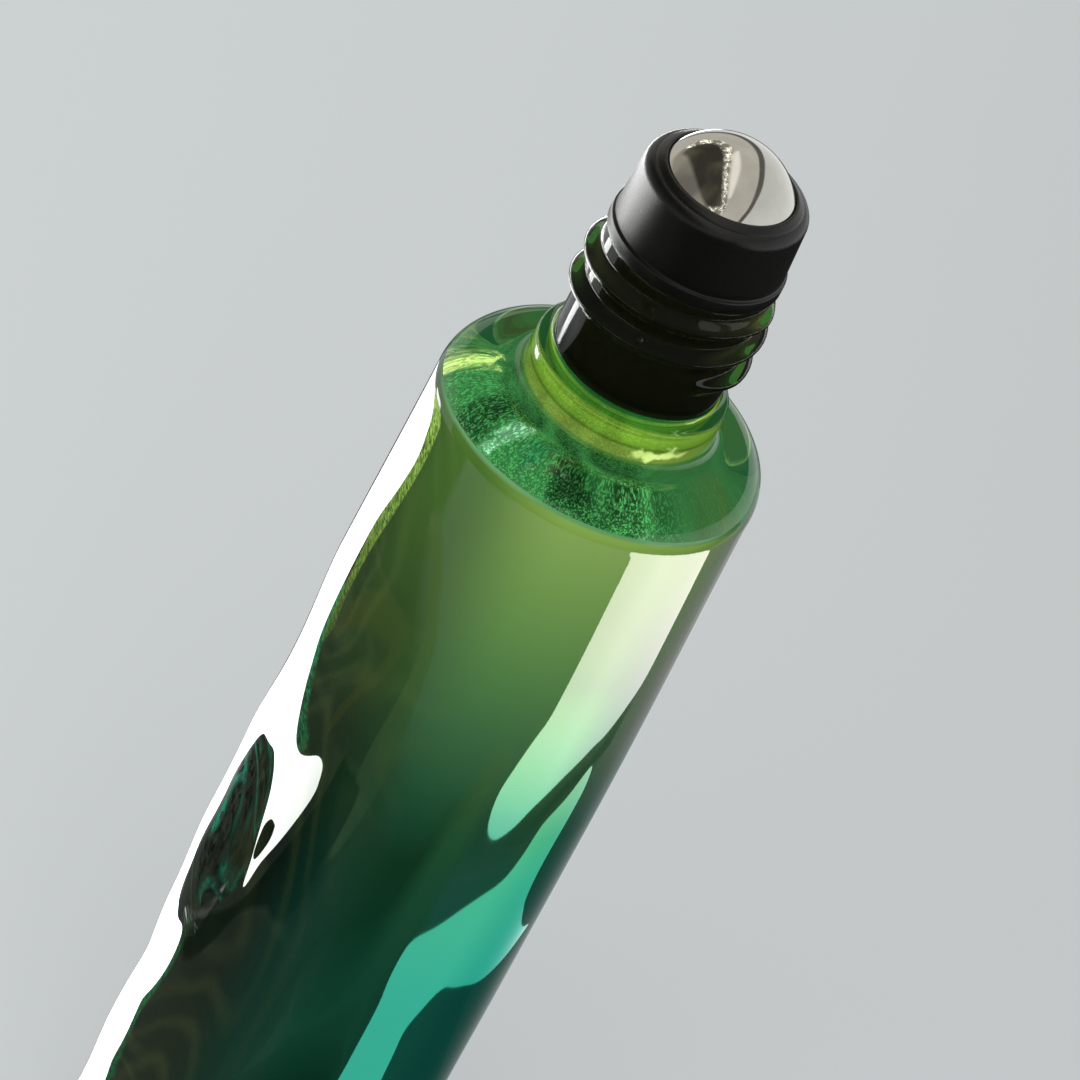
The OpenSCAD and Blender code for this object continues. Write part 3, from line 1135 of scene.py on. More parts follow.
@dataclass(frozen=True)
class LustreWithPaintedShade(Finish):
    """Coloured lustre under a clear coat: enamel green above, tinted mirror below, with painted
    shade.

    Its tints, mirrors and coats run over the height above the table, and its turns are bearings
    from the front. On the bottle's left, from 32 degrees left of the front and fading out by 9
    degrees right of it, its colour is painted darker, less metallic and veined, as painted shade
    and painted reflection. It is also painted darker towards the silhouette as painted shade, and
    a mint line of painted highlight runs along its top edge.
    """

    title: ClassVar[str] = "lustre_glass_painted_shade"
    tints: tuple[tuple[float, Colour], ...] = (
        (20.0, (0.008, 0.090, 0.062)),
        (40.0, (0.009, 0.095, 0.066)),
        (50.0, (0.013, 0.098, 0.056)),
        (57.0, (0.018, 0.098, 0.040)),
        (64.0, (0.036, 0.142, 0.040)),
        (70.0, (0.066, 0.196, 0.038)),
        (77.0, (0.132, 0.275, 0.048)),
        (83.55, (0.210, 0.355, 0.068)),
        # painted highlight: a mint line along the lustre's top edge
        (83.7, (0.100, 0.280, 0.105)),
        (84.0, (0.100, 0.280, 0.105)),
    )
    # painted shade: darker tints by height for the bottle's left side
    painted_shade_tints: tuple[tuple[float, Colour], ...] = (
        (20.0, (0.016, 0.025, 0.013)),
        (34.0, (0.008, 0.015, 0.008)),
        (46.0, (0.003, 0.009, 0.005)),
        (58.0, (0.012, 0.028, 0.010)),
        (70.0, (0.030, 0.072, 0.015)),
        (83.55, (0.064, 0.158, 0.022)),
        # painted highlight: a mint line along the lustre's top edge
        (83.7, (0.100, 0.280, 0.105)),
        (84.0, (0.100, 0.280, 0.105)),
    )
    mirrors: tuple[tuple[float, float], ...] = (
        (20.0, 0.94), (52.0, 0.93), (58.0, 0.78), (64.0, 0.42), (70.0, 0.08), (76.0, 0.0),
        (84.0, 0.0),
    )
    coats: tuple[tuple[float, float], ...] = (
        (20.0, 0.0), (50.0, 0.0), (55.0, 0.08), (60.0, 0.36), (64.0, 0.65), (70.0, 0.90),
        (76.0, 1.0), (84.0, 1.0),
    )
    coat_turn: Pair = (-32.0, 8.0)
    # painted shade: bearings over which the left side's darker colour fades in, and how much less
    # metallic it is there
    painted_shade_turn: Pair = (-32.0, 9.0)
    painted_shade_dulling: float = -0.8
    # painted reflection: olive contour veins on the darker left side
    painted_reflection_vein_tint: Colour = (0.013, 0.015, 0.004)
    vein_size: float = 16.0
    vein_lines: float = 16.0
    painted_reflection_vein_stretch: Triple = (1.0, 1.0, 0.45)
    # painted shade: the colour darkens towards the silhouette as the surface turns away from the
    # view
    painted_rim_shade_facing: Pair = (0.42, 0.88)
    painted_rim_shade_share: Pair = (1.0, 0.2)
    edge_tint: Colour = (0.50, 0.68, 0.65)
    roughness: float = 0.03

    def shade(self, nodes: NodeTree) -> NodeSocket:
        """Adds the lustre outside and the enamel inside.

        Args:
            nodes: The material's nodes.

        Returns:
            The shader's socket.
        """
        place = WallPlace.put(nodes)
        tint, painted_shade_tint, mirror, coat = (
            nodes.ramp(place["Height"], stops)
            for stops in (self.tints, self.painted_shade_tints, self.mirrors, self.coats))
        bearing = place["Bearing"]
        left = nodes.map_range(bearing, self.coat_turn, (1, 0))
        # painted shade: darker, less metallic colour on the bottle's left
        painted_shade = nodes.map_range(bearing, self.painted_shade_turn, (1, 0), soft=True)
        plain = nodes.math("MULTIPLY_ADD", painted_shade, self.painted_shade_dulling, 1.0)
        # painted reflection: olive contour veins, added on the darker left side only
        smoke = Smoke.put(nodes, Place=nodes.place(self.painted_reflection_vein_stretch), Size=self.vein_size,
                          Lines=self.vein_lines)
        veins = nodes.scaled(self.painted_reflection_vein_tint, smoke["Contour"])
        tint = nodes.mix(painted_shade, tint, nodes.vector("ADD", painted_shade_tint, veins))
        # painted shade: the colour darkens towards the silhouette as the surface turns away from
        # the view
        facing = nodes.add("ShaderNodeLayerWeight", Blend=0.5).outputs["Facing"]
        edge = nodes.map_range(facing, self.painted_rim_shade_facing, self.painted_rim_shade_share)
        outside = nodes.principled(
            Base_Color=nodes.scaled(tint, edge), Metallic=nodes.math("MULTIPLY", mirror, plain),
            Roughness=self.roughness, Specular_IOR_Level=0.0,
            Specular_Tint=(*self.edge_tint, 1), Coat_Roughness=0.0,
            Coat_Weight=nodes.math("MAXIMUM", coat, left))
        side = nodes.add("ShaderNodeNewGeometry").outputs["Backfacing"]
        return nodes.blend(side, outside, LinerEnamelAndPaintedLight().shade(nodes))


@dataclass(frozen=True)
class ClearGlassFinish(Finish):
    """Clear glass, emerald at the shoulder and lime in the collar and the neck."""

    title: ClassVar[str] = "clear_glass"
    tints: tuple[tuple[float, Colour], ...] = (
        (82.0, (0.50, 0.95, 0.70)),
        (86.2, (0.50, 0.95, 0.70)),
        (86.6, (0.80, 0.97, 0.55)),
        (89.5, (0.80, 0.97, 0.50)),
        (89.7, (0.05, 0.24, 0.09)),
        (90.0, (0.05, 0.24, 0.09)),
        (90.2, (0.82, 0.90, 0.28)),
        (101.0, (0.82, 0.90, 0.28)),
    )
    ior: float = 1.5

    def shade(self, nodes: NodeTree) -> NodeSocket:
        """Adds the glass's nodes.

        Args:
            nodes: The material's nodes.

        Returns:
            The shader's socket.
        """
        height = WallPlace.put(nodes)["Height"]
        return nodes.principled(Base_Color=nodes.ramp(height, self.tints), Roughness=0.0,
                                IOR=self.ior, Transmission_Weight=1.0)


@dataclass(frozen=True)
class SatinPlasticFinish(Finish):
    """Satin black plastic with the fine grain of its mould."""

    title: ClassVar[str] = "satin_black"
    colour: Colour = (0.0018, 0.0019, 0.0014)
    smooth: float = 0.27
    rough: float = 0.37
    shine: float = 0.42
    grain: float = 0.16
    relief: float = 0.012
    relief_share: float = 0.5

    def shade(self, nodes: NodeTree) -> NodeSocket:
        """Adds the plastic's nodes.

        Args:
            nodes: The material's nodes.

        Returns:
            The shader's socket.
        """
        grain = Grain.put(nodes, Size=self.grain)["Value"]
        bump = nodes.add("ShaderNodeBump", Height=grain, Distance=self.relief * MM,
                         Strength=self.relief_share)
        return nodes.principled(
            Base_Color=(*self.colour, 1), Specular_IOR_Level=self.shine,
            Roughness=nodes.map_range(grain, (0, 1), (self.smooth, self.rough)),
            Normal=bump.outputs["Normal"])


@dataclass(frozen=True)
class SteelFinish(Finish):
    """Mirror polished steel with a faint cloudiness in the polish."""

    title: ClassVar[str] = "polished_steel"
    dark: Colour = (0.59, 0.57, 0.53)
    bright: Colour = (0.65, 0.63, 0.59)
    smooth: float = 0.03
    rough: float = 0.08
    cloud: float = 1.6

    def shade(self, nodes: NodeTree) -> NodeSocket:
        """Adds the steel's nodes.

        Args:
            nodes: The material's nodes.

        Returns:
            The shader's socket.
        """
        grain = Grain.put(nodes, Size=self.cloud)["Value"]
        return nodes.principled(
            Base_Color=nodes.ramp(grain, ((0.0, self.dark), (1.0, self.bright))), Metallic=1.0,
            Roughness=nodes.map_range(grain, (0, 1), (self.smooth, self.rough)))


@dataclass(frozen=True)
class Card:
    """A flat card just above the floor that shows in mirrored surfaces only.

    Its outline is in millimetres on the floor, and a higher layer lies on top. A card
    either glows or, with a glow of almost nothing, holds light back like a black flag. The
    glow runs from near_glow to far_glow between the distances near and far from the
    bottle's foot. Veins are soft flowing lines, or soft clouds where the number of lines
    is 0. Round the back of the bottle, the glow can fall to back_share.
    """

    name: str
    outline: tuple[Pair, ...]
    near_glow: float
    far_glow: float
    colour: Colour = (1.0, 1.0, 1.0)
    cover: float = 1.0
    edge: float = 0.0
    layer: int = 1
    near: float = 60.0
    far: float = 115.0
    vein_glow: float = 0.0
    vein_colour: Colour = (1.0, 1.0, 1.0)
    vein_size: float = 30.0
    vein_lines: float = 6.0
    grain: float = 0.0
    rise: float = 0.0
    far_colour: Colour | None = None
    shown: Shown = Shown.BOTH
    side_turn: float = 90.0
    back_turn: float = 180.0
    back_share: float = 1.0
    back_power: float = 1.2
    layer_gap: float = 0.25
    steps: int = 6

    def rounded(self) -> Outline:
        """Smooths the outline.

        Returns:
            A closed curve through the outline's points.
        """
        points = np.array(self.outline)
        shares = np.linspace(0, 1, self.steps, endpoint=False)[:, None]
        curve = []
        for i in range(len(points)):
            a, b, c, d = (points[(i + k) % len(points)] for k in (-1, 0, 1, 2))
            curve.append(b + 0.5 * shares * (c - a + shares * (2 * a - 5 * b + 4 * c - d
                         + shares * (3 * (b - c) + d - a))))
        return [tuple(p) for p in np.concatenate(curve)]

    def refine(self, sheet: bmesh.types.BMesh) -> None:
        """Splits the card's faces where it has to bend. A card on the floor is flat."""

    def put(self, x: float, y: float) -> Vector:
        """Gives the place of a point of the outline, in metres."""
        return Vector((x, y, self.rise + self.layer * self.layer_gap)) * MM

    def pattern_place(self, nodes: NodeTree) -> NodeSocket:
        """Adds the place that veins and grain are laid out by."""
        return MirrorPlace.put(nodes)["Place"]

    def back_dimming(self, nodes: NodeTree) -> NodeSocket:
        """Adds the loss of glow round the back of the bottle.

        Args:
            nodes: The material's nodes.

        Returns:
            The share of the glow that is left.
        """
        turn = nodes.math("ABSOLUTE", WallPlace.put(nodes)["Bearing"])
        front = nodes.map_range(turn, (self.back_turn, self.side_turn), (0, 1))
        return nodes.math("MULTIPLY_ADD", nodes.math("POWER", front, self.back_power),
                          1 - self.back_share, self.back_share)

    def veins(self, nodes: NodeTree) -> NodeSocket:
        """Adds the glow of the card's veins or clouds.

        Args:
            nodes: The material's nodes.

        Returns:
            The shader's socket.
        """
        smoke = Smoke.put(nodes, Place=self.pattern_place(nodes), Size=self.vein_size,
                          Lines=self.vein_lines)
        lines = smoke["Cloud"]
        if self.vein_lines:
            lines = nodes.math("MULTIPLY", smoke["Contour"], lines)
        return nodes.glow((*self.vein_colour, 1), nodes.math("MULTIPLY", lines, self.vein_glow))

    def shade(self, nodes: NodeTree) -> NodeSocket:
        """Adds the card's glow, which changes with the distance from the bottle.

        Args:
            nodes: The material's nodes.

        Returns:
            The shader, which is clear where the card doesn't cover.
        """
        here = nodes.add("ShaderNodeNewGeometry").outputs
        span = nodes.vector("LENGTH", here["Position"])
        reach = (self.near * MM, self.far * MM)
        glow = nodes.map_range(span, reach, (self.near_glow, self.far_glow))
        if self.back_share < 1.0:
            glow = nodes.math("MULTIPLY", glow, self.back_dimming(nodes))
        colour = (*self.colour, 1)
        if self.far_colour:
            colour = nodes.ramp(span, ((reach[0], self.colour), (reach[1], self.far_colour)))
        shine = nodes.glow(colour, glow)
        if self.vein_glow:
            both = nodes.join(nodes.add("ShaderNodeAddShader"), shine, self.veins(nodes))
            shine = both.outputs["Shader"]
        cover = nodes.add("ShaderNodeAttribute", attribute_name="cover").outputs["Fac"]
        if self.grain:
            specks = Glitter.put(nodes, Place=self.pattern_place(nodes), Grain=self.grain,
                                 Share=1.0)
            cover = nodes.math("MULTIPLY", cover, specks["Mask"])
        below = here["Backfacing"]
        if self.shown is Shown.ABOVE:
            cover = nodes.math("MULTIPLY", cover, nodes.math("SUBTRACT", 1.0, below))
        elif self.shown is Shown.BELOW:
            cover = nodes.math("MULTIPLY", cover, below)
        clear = nodes.add("ShaderNodeBsdfTransparent").outputs["BSDF"]
        return nodes.blend(cover, clear, shine)

    def build(self) -> None:
        """Builds the card, with a soft edge where it has one."""
        sheet = bmesh.new()
        layer = sheet.verts.layers.float.new("cover")
        face = sheet.faces.new([sheet.verts.new((x, y, 0)) for x, y in self.rounded()])
        face.normal_update()
        rim = set()
        if self.edge:
            bmesh.ops.inset_region(sheet, faces=[face], thickness=self.edge,
                                   use_boundary=True, use_even_offset=False)
            rim = {v for e in sheet.edges if e.is_boundary for v in e.verts}
        for vert in sheet.verts:
            vert[layer] = 0.0 if vert in rim else self.cover
        bmesh.ops.triangulate(sheet, faces=sheet.faces)
        for face in sheet.faces:
            face.normal_update()
            if face.normal.z < 0:
                face.normal_flip()
        self.refine(sheet)
        for vert in sheet.verts:
            vert.co = self.put(vert.co.x, vert.co.y)
        mesh = bpy.data.meshes.new(self.name)
        sheet.to_mesh(mesh)
        sheet.free()
        mesh.materials.append(new_material(self.name, self.shade))
        made = add_object(self.name, mesh)
        made.visible_camera = False
        made.visible_diffuse = False
        made.visible_transmission = False
        made.visible_volume_scatter = False
        made.visible_shadow = False


@dataclass(frozen=True)
class SkyCard(Card):
    """A card on a dome over the bottle, for the ball and the round of the shoulder.

    Its outline is a plan of the sky: the distance from the plan's middle is the angle
    from straight up, and the direction is the bearing on the floor. A lower layer hangs
    nearer, in front of the others.
    """

    dome: float = 400.0
    dome_gap: float = 4.0
    middle_z: float = 105.0
    longest: float = 9.0
    rounds: int = 5
    stretch: Triple = (1.0, 1.0, 0.45)

    def pattern_place(self, nodes: NodeTree) -> NodeSocket:
        """Adds the place that veins and grain are laid out by."""
        return nodes.place(self.stretch)

    def refine(self, sheet: bmesh.types.BMesh) -> None:
        """Splits long edges, round after round, so that the card follows the dome.

        Args:
            sheet: The card's mesh.
        """
        for _ in range(self.rounds):
            long = [e for e in sheet.edges if e.calc_length() > self.longest]
            bmesh.ops.subdivide_edges(sheet, edges=long, cuts=1)
            bmesh.ops.triangulate(sheet, faces=sheet.faces)

    def put(self, x: float, y: float) -> Vector:
        """Gives the place of a point of the plan on the dome.

        Args:
            x: The point's angle towards the right.
            y: Its angle towards the back.

        Returns:
            The place in metres.
        """
        angle = math.radians(math.hypot(x, y))
        side = Vector((x, y, 0)).normalized() * math.sin(angle)
        reach = self.dome + self.layer * self.dome_gap
        middle = Vector((0, 0, self.middle_z * MM))
        return (side + Vector((0, 0, math.cos(angle)))) * reach * MM + middle


@dataclass
class Studio:
    """Pale floor, plain world, one soft lamp, and cards that shape the reflections.

    The floor's and the lamp's lengths are in metres.
    """

    floor_half: float = 3.0
    floor_glow: float = 0.72
    grey: Colour = (0.605, 0.636, 0.638)
    # painted shade: the floor's grey turns darker towards +X
    painted_shade_grey: Colour = (0.540, 0.564, 0.570)
    grey_span: Pair = (-0.08, 0.08)
    sky: Colour = (0.9, 0.91, 0.92)
    sky_glow: float = 0.5
    key_place: Triple = (-0.1, -0.95, 1.5)
    key_aim: Triple = (0.0, 0.0, 0.06)
    key_side: float = 1.0
    key_power: float = 25.5
    cards: tuple[Card, ...] = (
        Card("left_softbox", (
            (-46, 123), (-75, 108), (-92, 95), (-97, 86), (-105, 74), (-114, 56), (-117, 42),
            (-111, 44), (-101, 51), (-95, 49), (-90, 42), (-88, 34), (-88, 22), (-86, 6),
            (-82, -11), (-80, -20), (-76, -38), (-71, -47), (-66, -50), (-63, -49), (-61, -40),
            (-60, -31), (-58, -26), (-63, -19), (-67, -11), (-71, -3), (-72, 7), (-69, 19),
            (-58, 37), (-50, 45), (-40, 49), (-41, 44), (-39, 37), (-33, 33), (-37, 26),
            (-44, 16), (-46, 10), (-44, 8), (-38, 12), (-36, 4), (-30, -4), (-18, -4), (-6, 20),
            (-16, 58), (-28, 78), (-36, 94), (-41, 106)),
            19.0, 16.0, layer=6, back_share=0.055),
        Card("right_softbox", (
            (112, -80), (112, -73), (108, -68), (104, -64), (98, -60), (93, -58), (87, -60),
            (80, -61), (74, -60), (73, -52), (77, -40), (84, -28), (91, -17), (97, 0), (99, 18),
            (98, 29), (97, 43), (97, 53), (104, 57), (111, 59), (119, 59), (128, 54), (137, 36),
            (141, 10), (141, -15), (136, -44), (126, -66), (120, -76)),
            7.6, 11.2, (0.95, 0.74, 1.12), layer=5, near=85, far=125,
            far_colour=(0.99, 0.97, 0.86), side_turn=80, back_turn=125, back_share=0.5),
        Card("low_softbox", (
            (91, 32), (90, 19), (88, 5), (83, 0), (79, -6), (74, -20), (67, -32), (56, -44),
            (49, -49), (45, -47), (43, -42), (36, -37), (24, -29), (38, -14), (50, -17),
            (54, -19), (58, -15), (61, -10), (62, -3), (60, 12), (53, 30), (44, 46), (42, 50),
            (52, 42), (61, 35), (66, 31), (71, 30), (75, 32), (79, 36), (84, 38)),
            4.6, 6.2, layer=5),
        Card("right_flag", (
            (136, 44), (112, -14), (96, -24), (86, -20), (76, -6), (70, 24), (60, 30), (38, 22),
            (24, 26), (30, 52), (44, 76), (60, 104), (75, 134), (100, 150), (130, 120)),
            0.65, 0.38, (1.2, 0.96, 0.96), edge=8, layer=3, near=88, far=128,
            far_colour=(1.0, 1.1, 1.1)),
        Card("gap_glow", (
            (98, 50), (104, 20), (100, -4), (94, -24), (88, -40), (82, -58), (66, -62),
            (52, -52), (58, -38), (70, -24), (80, -4), (84, 8), (84, 30), (90, 50)),
            0.6, 0.25, (1.4, 1.0, 1.15), edge=11, layer=4, near=80, far=96,
            far_colour=(1.0, 1.0, 1.0)),
        Card("edge_glow", (
            (12, 60), (22, 58), (32, 84), (44, 116), (52, 146), (30, 150), (22, 120), (14, 90)),
            1.0, 0.85, edge=6, layer=4, near=85, far=134),
        Card("left_flag", (
            (-146, -35), (-120, -56), (-101, -75), (-75, -95), (-48, -100), (-36, -92),
            (-24, -80), (-21, -66), (-15, -48), (-10, -20), (-20, 20), (-60, 60), (-125, 60),
            (-140, 46)),
            0.11, 0.07, (0.9, 1.05, 0.85), cover=0.92, edge=8, layer=2, near=70, far=115,
            vein_glow=0.2, vein_colour=(0.8, 0.9, 0.4), vein_size=9, vein_lines=7),
        Card("left_facet", (
            (-121, -42), (-109, -66), (-93, -84), (-72, -97), (-56, -103), (-44, -102),
            (-36, -98), (-25, -89), (-26, -74), (-32, -69), (-38, -77), (-47, -74), (-53, -79),
            (-56, -87), (-60, -91), (-67, -92), (-84, -84), (-107, -62), (-119, -38)),
            0.50, 0.50, (1.0, 0.92, 0.6), edge=1.5, layer=4),
        Card("left_ring", (
            (-104, 14), (-110, -2), (-110, -31), (-98, -60), (-86, -75), (-75, -79), (-76, -70),
            (-81, -54), (-80, -39), (-86, -38), (-87, -52), (-85, -66), (-93, -54), (-102, -30),
            (-102, -4), (-98, 12)),
            0.30, 0.30, (1.0, 0.88, 0.4), edge=1.5, layer=4),
        Card("dark_flame", (
            (-64, -63), (-55, -70), (-47, -75), (-39, -78), (-34, -73), (-33, -67), (-30, -63),
            (-33, -56), (-40, -50), (-46, -45), (-52, -33), (-51, -20), (-48, 2), (-44, 14),
            (-57, 2), (-59, -10), (-56, -29), (-57, -39), (-58, -50), (-60, -58)),
            0.02, 0.02, edge=1, layer=5),
        Card("front_flag", (
            (-40, -95), (0, -95), (30, -90), (66, -78), (70, -60), (48, -40), (22, -18),
            (-20, -25), (-40, -50)),
            0.18, 0.3, (1.2, 1.0, 0.5), cover=0.85, edge=12, layer=1),
        Card("teal_glow", (
            (-8, -66), (12, -70), (28, -70), (46, -84), (66, -88), (80, -70), (66, -48),
            (46, -38), (34, -34), (24, -42), (8, -44), (-10, -46)),
            0.46, 0.65, (1.3, 1.0, 0.75), edge=14, layer=2, near=60, far=90),
        Card("lime_strip", (
            (-104, 92), (-113, 80), (-122, 60), (-127, 40), (-124, 22), (-108, 30), (-100, 28),
            (-96, 20), (-90, 30), (-100, 60), (-90, 90)),
            0.5, 5.0, (0.62, 1.0, 0.18), edge=1.5, layer=5, near=92, far=130, grain=0.12),
        Card("teal_strip", (
            (-95, 42), (-93, 24), (-91, 6), (-87, -11), (-84, -22), (-80, -24), (-78, 0),
            (-80, 30), (-88, 46)),
            1.4, 2.6, (0.12, 1.0, 0.42), edge=1.5, layer=4, near=80, far=105, grain=0.12),
        Card("low_strip", (
            (-54, 8), (-47, 3), (-41, 6), (-38, -1), (-31, -8), (-20, -9), (-10, -4), (-20, 4),
            (-46, 14)),
            1.2, 1.2, (0.12, 1.0, 0.42), edge=1.5, layer=5, grain=0.12),
        Card("lens_window", (
            (-56, 52), (-74, 24), (-78, 4), (-74, -10), (-66, -24), (-61, -26), (-60, -12),
            (-59, 2), (-56, 16), (-50, 30), (-42, 50)),
            0.02, 0.13, (1.0, 1.0, 0.6), edge=1, layer=4, near=62, far=80, vein_glow=1.9,
            vein_colour=(0.05, 1.0, 0.6), vein_size=2.4, vein_lines=4, grain=0.2),
        Card("lens_rim", (
            (-62, -6), (-60, 2), (-52, 15), (-45, 21), (-42, 15), (-49, 4), (-54, -6)),
            0.25, 0.25, (1.0, 0.97, 0.9), edge=1.5, layer=5, vein_glow=3.0, vein_size=2.2,
            vein_lines=5),
        Card("black_drop", (
            (-66, -29), (-68, -22), (-67, -15), (-64, -17), (-62, -24), (-63, -30)),
            0.02, 0.02, layer=7),
        Card("far_flag", (
            (-135, -20), (-125, -60), (-95, -100), (-50, -132), (0, -142), (55, -130),
            (100, -100), (122, -74), (145, -60), (148, 0), (142, 50), (300, 250), (900, 300),
            (900, -300), (500, -900), (-500, -900), (-900, -300), (-500, -40), (-190, 0)),
            0.02, 0.02, cover=0.93, edge=5, layer=1),
        Card("back_flag", (
            (-60, 128), (-44, 100), (-34, 78), (-22, 56), (2, 54), (6, 100), (20, 140),
            (80, 200), (40, 320), (-60, 320), (-140, 240)),
            0.12, 0.15, cover=0.95, edge=2, layer=1),
        Card("neck_softbox", (
            (-126, 50), (-140, 54), (-156, 60), (-160, 74), (-142, 92), (-128, 98), (-116, 84),
            (-122, 66)),
            7.0, 7.0, edge=3, layer=2),
        Card("housing_softbox", (
            (-29, -9), (-31, 5), (-24, 20), (-13, 28), (-4, 31), (-8, 60), (-26, 54), (-46, 38),
            (-60, 10), (-58, -18)),
            7.6, 7.6, edge=5, rise=87.5, shown=Shown.ABOVE, layer=1),
        Card("neck_flag", (
            (-8, -3), (-7, -4), (-4, -7), (0, -8), (4, -7), (7, -4), (8, 0), (7, 4), (4, 7),
            (1, 8), (9, 64), (32, 55), (55, 32), (64, 0), (55, -32), (32, -55), (0, -64),
            (-32, -55), (-55, -32), (-60, -24)),
            0.02, 0.02, rise=87.5, shown=Shown.ABOVE, layer=0),
        Card("neck_roof", (
            (-1, -8), (4, -7), (7, -4), (8, 0), (7, 4), (4, 7), (0, 8), (-4, 7), (-7, 4),
            (-8, 0), (-7, -4), (-2, -8), (-2, -66), (-34, -58), (-58, -34), (-66, 0), (-58, 34),
            (-34, 58), (0, 66), (34, 58), (58, 34), (66, 0), (58, -34), (34, -58), (-1, -66)),
            0.10, 0.10, rise=101.2, shown=Shown.BELOW, layer=0),
        SkyCard("front_dusk", (
            (-104, -20), (-60, -40), (-30, -52), (0, -58), (34, -54), (64, -42), (80, -36),
            (70, -76), (40, -95), (0, -103), (-45, -93), (-90, -52)),
            0.05, 0.05, edge=6, layer=8),
        SkyCard("warm_inside", (
            (-100, 20), (-80, 68), (-45, 90), (-24, 84), (-8, 79), (4, 66), (14, 50), (22, 32),
            (30, 14), (36, -6), (42, -26), (44, -50), (10, -84), (-50, -90), (-90, -60)),
            0.60, 0.60, (1.0, 0.97, 0.88), edge=2, layer=6, vein_glow=0.08,
            vein_colour=(1.0, 0.95, 0.8), vein_size=400, vein_lines=0),
        SkyCard("dim_left", (
            (-80, 40), (-58, 58), (-40, 52), (-28, 30), (-24, 0), (-14, -40), (0, -62),
            (-30, -80), (-80, -50), (-92, -10)),
            0.21, 0.21, (1.0, 0.96, 0.84), edge=7, layer=5, vein_glow=0.20,
            vein_colour=(1.0, 0.95, 0.8), vein_size=300, vein_lines=0),
        SkyCard("streak_glints", (
            (-62, 50), (-48, 64), (-24, 58), (-12, 38), (-9, 14), (-5, -6), (1, -24), (9, -40),
            (15, -54), (4, -68), (-18, -66), (-8, -46), (-14, -26), (-20, -6), (-24, 14),
            (-30, 34), (-44, 46)),
            0.30, 0.30, (1.0, 0.97, 0.85), edge=3, layer=4, vein_glow=3.4,
            vein_colour=(1.0, 0.97, 0.86), vein_size=44, vein_lines=8),
        SkyCard("dark_streak", (
            (-66, 44), (-44, 54), (-26, 46), (-17, 20), (-12, -4), (-7, -18), (-2, -32),
            (5, -46), (6, -56), (-14, -62), (-30, -54), (-44, -34), (-54, -12), (-60, 8),
            (-64, 26)),
            0.05, 0.05, (1.0, 0.95, 0.75), edge=5, layer=3, vein_glow=0.08,
            vein_colour=(1.0, 0.92, 0.65), vein_size=260, vein_lines=0),
        SkyCard("bright_band", (
            (-14, 34), (-11, 14), (-7, -4), (-1, -22), (6, -38), (12, -34), (10, -18), (7, 0),
            (4, 14), (-2, 32), (-8, 44)),
            1.15, 1.15, (1.0, 0.98, 0.9), edge=4, layer=2),
        SkyCard("dark_arc", (
            (-50, 98), (-40, 90), (-24, 86), (-12, 82), (0, 72), (10, 56), (18, 38), (26, 20),
            (32, 4), (38, -14), (41, -30), (42, -50), (48, -50), (47, -28), (44, -12), (39, 8),
            (33, 24), (25, 42), (17, 60), (6, 78), (-8, 89), (-24, 92), (-42, 97)),
            0.14, 0.14, (1.0, 0.96, 0.86), edge=1, layer=1),
        SkyCard("pale_side", (
            (47, -50), (46, -28), (43, -12), (38, 8), (32, 24), (24, 42), (16, 60), (5, 78),
            (-8, 90), (-30, 100), (20, 104), (60, 100), (100, 60), (104, 0), (90, -50)),
            1.02, 0.74, (0.97, 1.0, 0.98), edge=2, layer=7, near=420, far=500),
    )

    def shade_floor(self, nodes: NodeTree) -> NodeSocket:
        """Adds the floor's look, which keeps shadows: a grey painted slightly darker towards +X,
        as painted shade.

        Args:
            nodes: The material's nodes.

        Returns:
            The shader's socket.
        """
        place = nodes.add("ShaderNodeTexCoord").outputs["Object"]
        split = nodes.add("ShaderNodeSeparateXYZ", Vector=place)
        across = nodes.map_range(split.outputs["X"], self.grey_span, (0, 1), soft=True)
        tone = nodes.ramp(across, ((0.0, self.grey), (1.0, self.painted_shade_grey)))
        rays = nodes.add("ShaderNodeLightPath").outputs
        mirrored = nodes.math("MAXIMUM", rays["Is Glossy Ray"], rays["Is Transmission Ray"])
        seen = nodes.math("MAXIMUM", rays["Is Camera Ray"], mirrored)
        matt = nodes.add("ShaderNodeBsdfDiffuse", Color=tone).outputs["BSDF"]
        return nodes.blend(nodes.math("MULTIPLY", seen, self.floor_glow), matt,
                           nodes.glow(tone, 1.0))

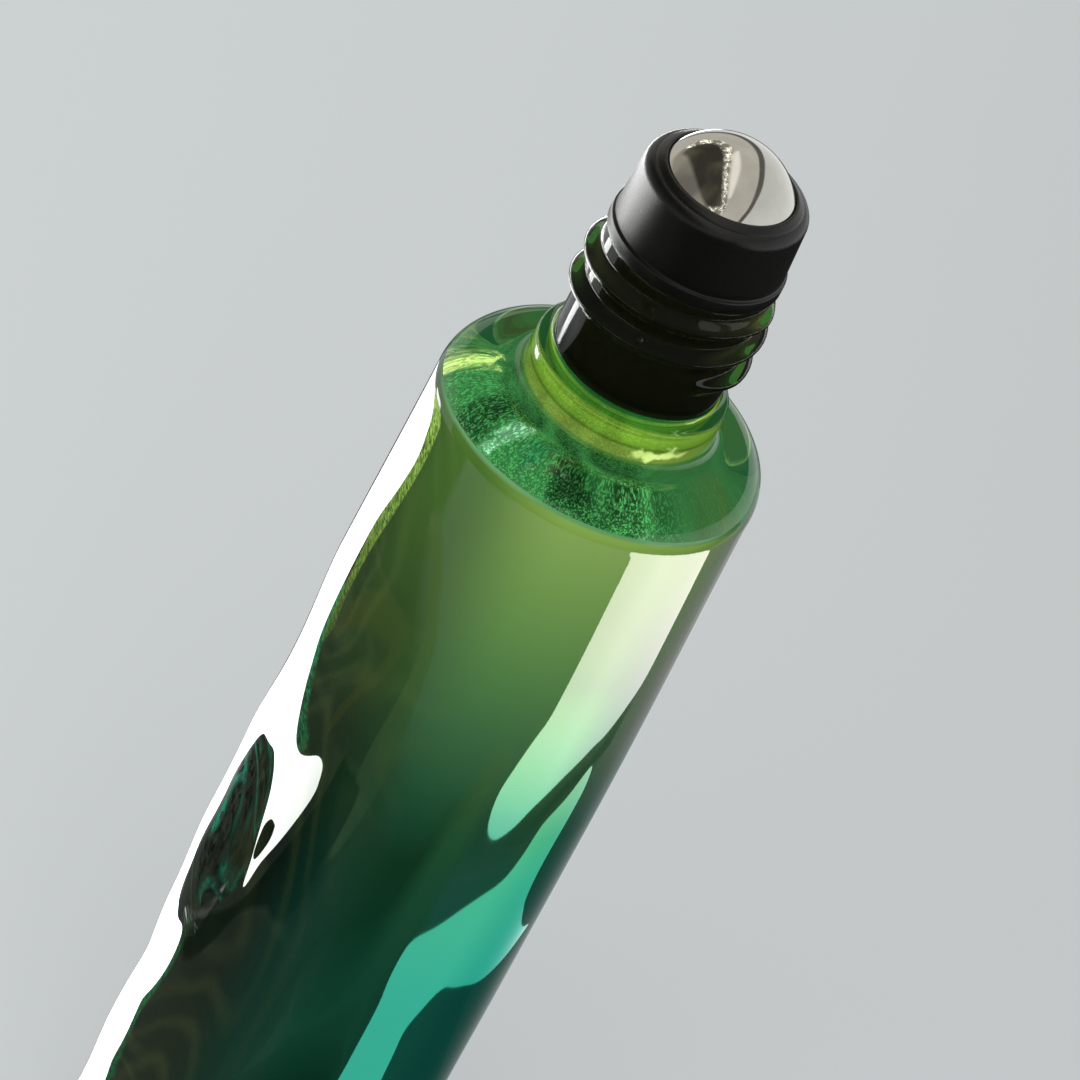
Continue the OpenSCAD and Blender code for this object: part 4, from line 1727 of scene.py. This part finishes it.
    def lay_floor(self) -> None:
        """Builds the floor."""
        h = self.floor_half
        floor = bpy.data.meshes.new("floor")
        floor.from_pydata([(-h, -h, 0), (h, -h, 0), (h, h, 0), (-h, h, 0)], [], [(0, 1, 2, 3)])
        floor.materials.append(new_material("pale_floor", self.shade_floor))
        made = add_object("floor", floor)

    def light_world(self) -> None:
        """Lights the world with a plain pale sky."""
        world = bpy.data.worlds.new("studio")
        world.use_nodes = True
        sky = world.node_tree.nodes["Background"]
        sky.inputs["Color"].default_value = (*self.sky, 1)
        sky.inputs["Strength"].default_value = self.sky_glow
        bpy.context.scene.world = world

    def light_key(self) -> None:
        """Adds the soft square key lamp, which mirrors don't show."""
        data = bpy.data.lights.new("key", "AREA")
        data.shape = "SQUARE"
        data.size = self.key_side
        data.energy = self.key_power
        key = add_object("key", data)
        away = Vector(self.key_place) - Vector(self.key_aim)
        turn = away.to_track_quat("Z", "Y").to_matrix().to_4x4()
        key.matrix_world = Matrix.Translation(self.key_place) @ turn
        key.visible_glossy = False

    def build(self) -> None:
        """Builds the floor, the world, the lamp and the cards."""
        self.lay_floor()
        self.light_world()
        self.light_key()
        for card in self.cards:
            card.build()


def main() -> None:
    """Builds the studio, the camera and each piece."""
    logging.basicConfig(level=logging.INFO, format="%(name)s: %(message)s")
    bpy.context.scene.view_settings.view_transform = "Standard"
    vessel_maker = GlassVessel()
    PhotoCamera().place(vessel_maker.shoulder_z)
    Studio().build()

    vessel = vessel_maker.build()
    for finish in (ClearGlassFinish(), LustreWithPaintedShade(), LinerEnamelAndPaintedLight(),
                   SatinPlasticFinish(shine=0.1)):
        vessel.data.materials.append(finish.make())
    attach(vessel, "bottle")
    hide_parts("glass_bottle")
    log.info("vessel built: %d faces", len(vessel.data.polygons))

    housing_maker = RollerHousing(vessel_maker.lip_z)
    housing = housing_maker.build()
    housing.data.materials.append(SatinPlasticFinish().make())
    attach(housing, "bottle")
    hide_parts("roller_housing")
    log.info("housing built: %d faces", len(housing.data.polygons))

    ball = RollerBall(housing_maker.ball_z).build()
    ball.data.materials.append(SteelFinish().make())
    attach(ball, "ball")
    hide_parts("roller_ball")
    log.info("ball built: %d faces", len(ball.data.polygons))


if __name__ == "__main__":
    main()
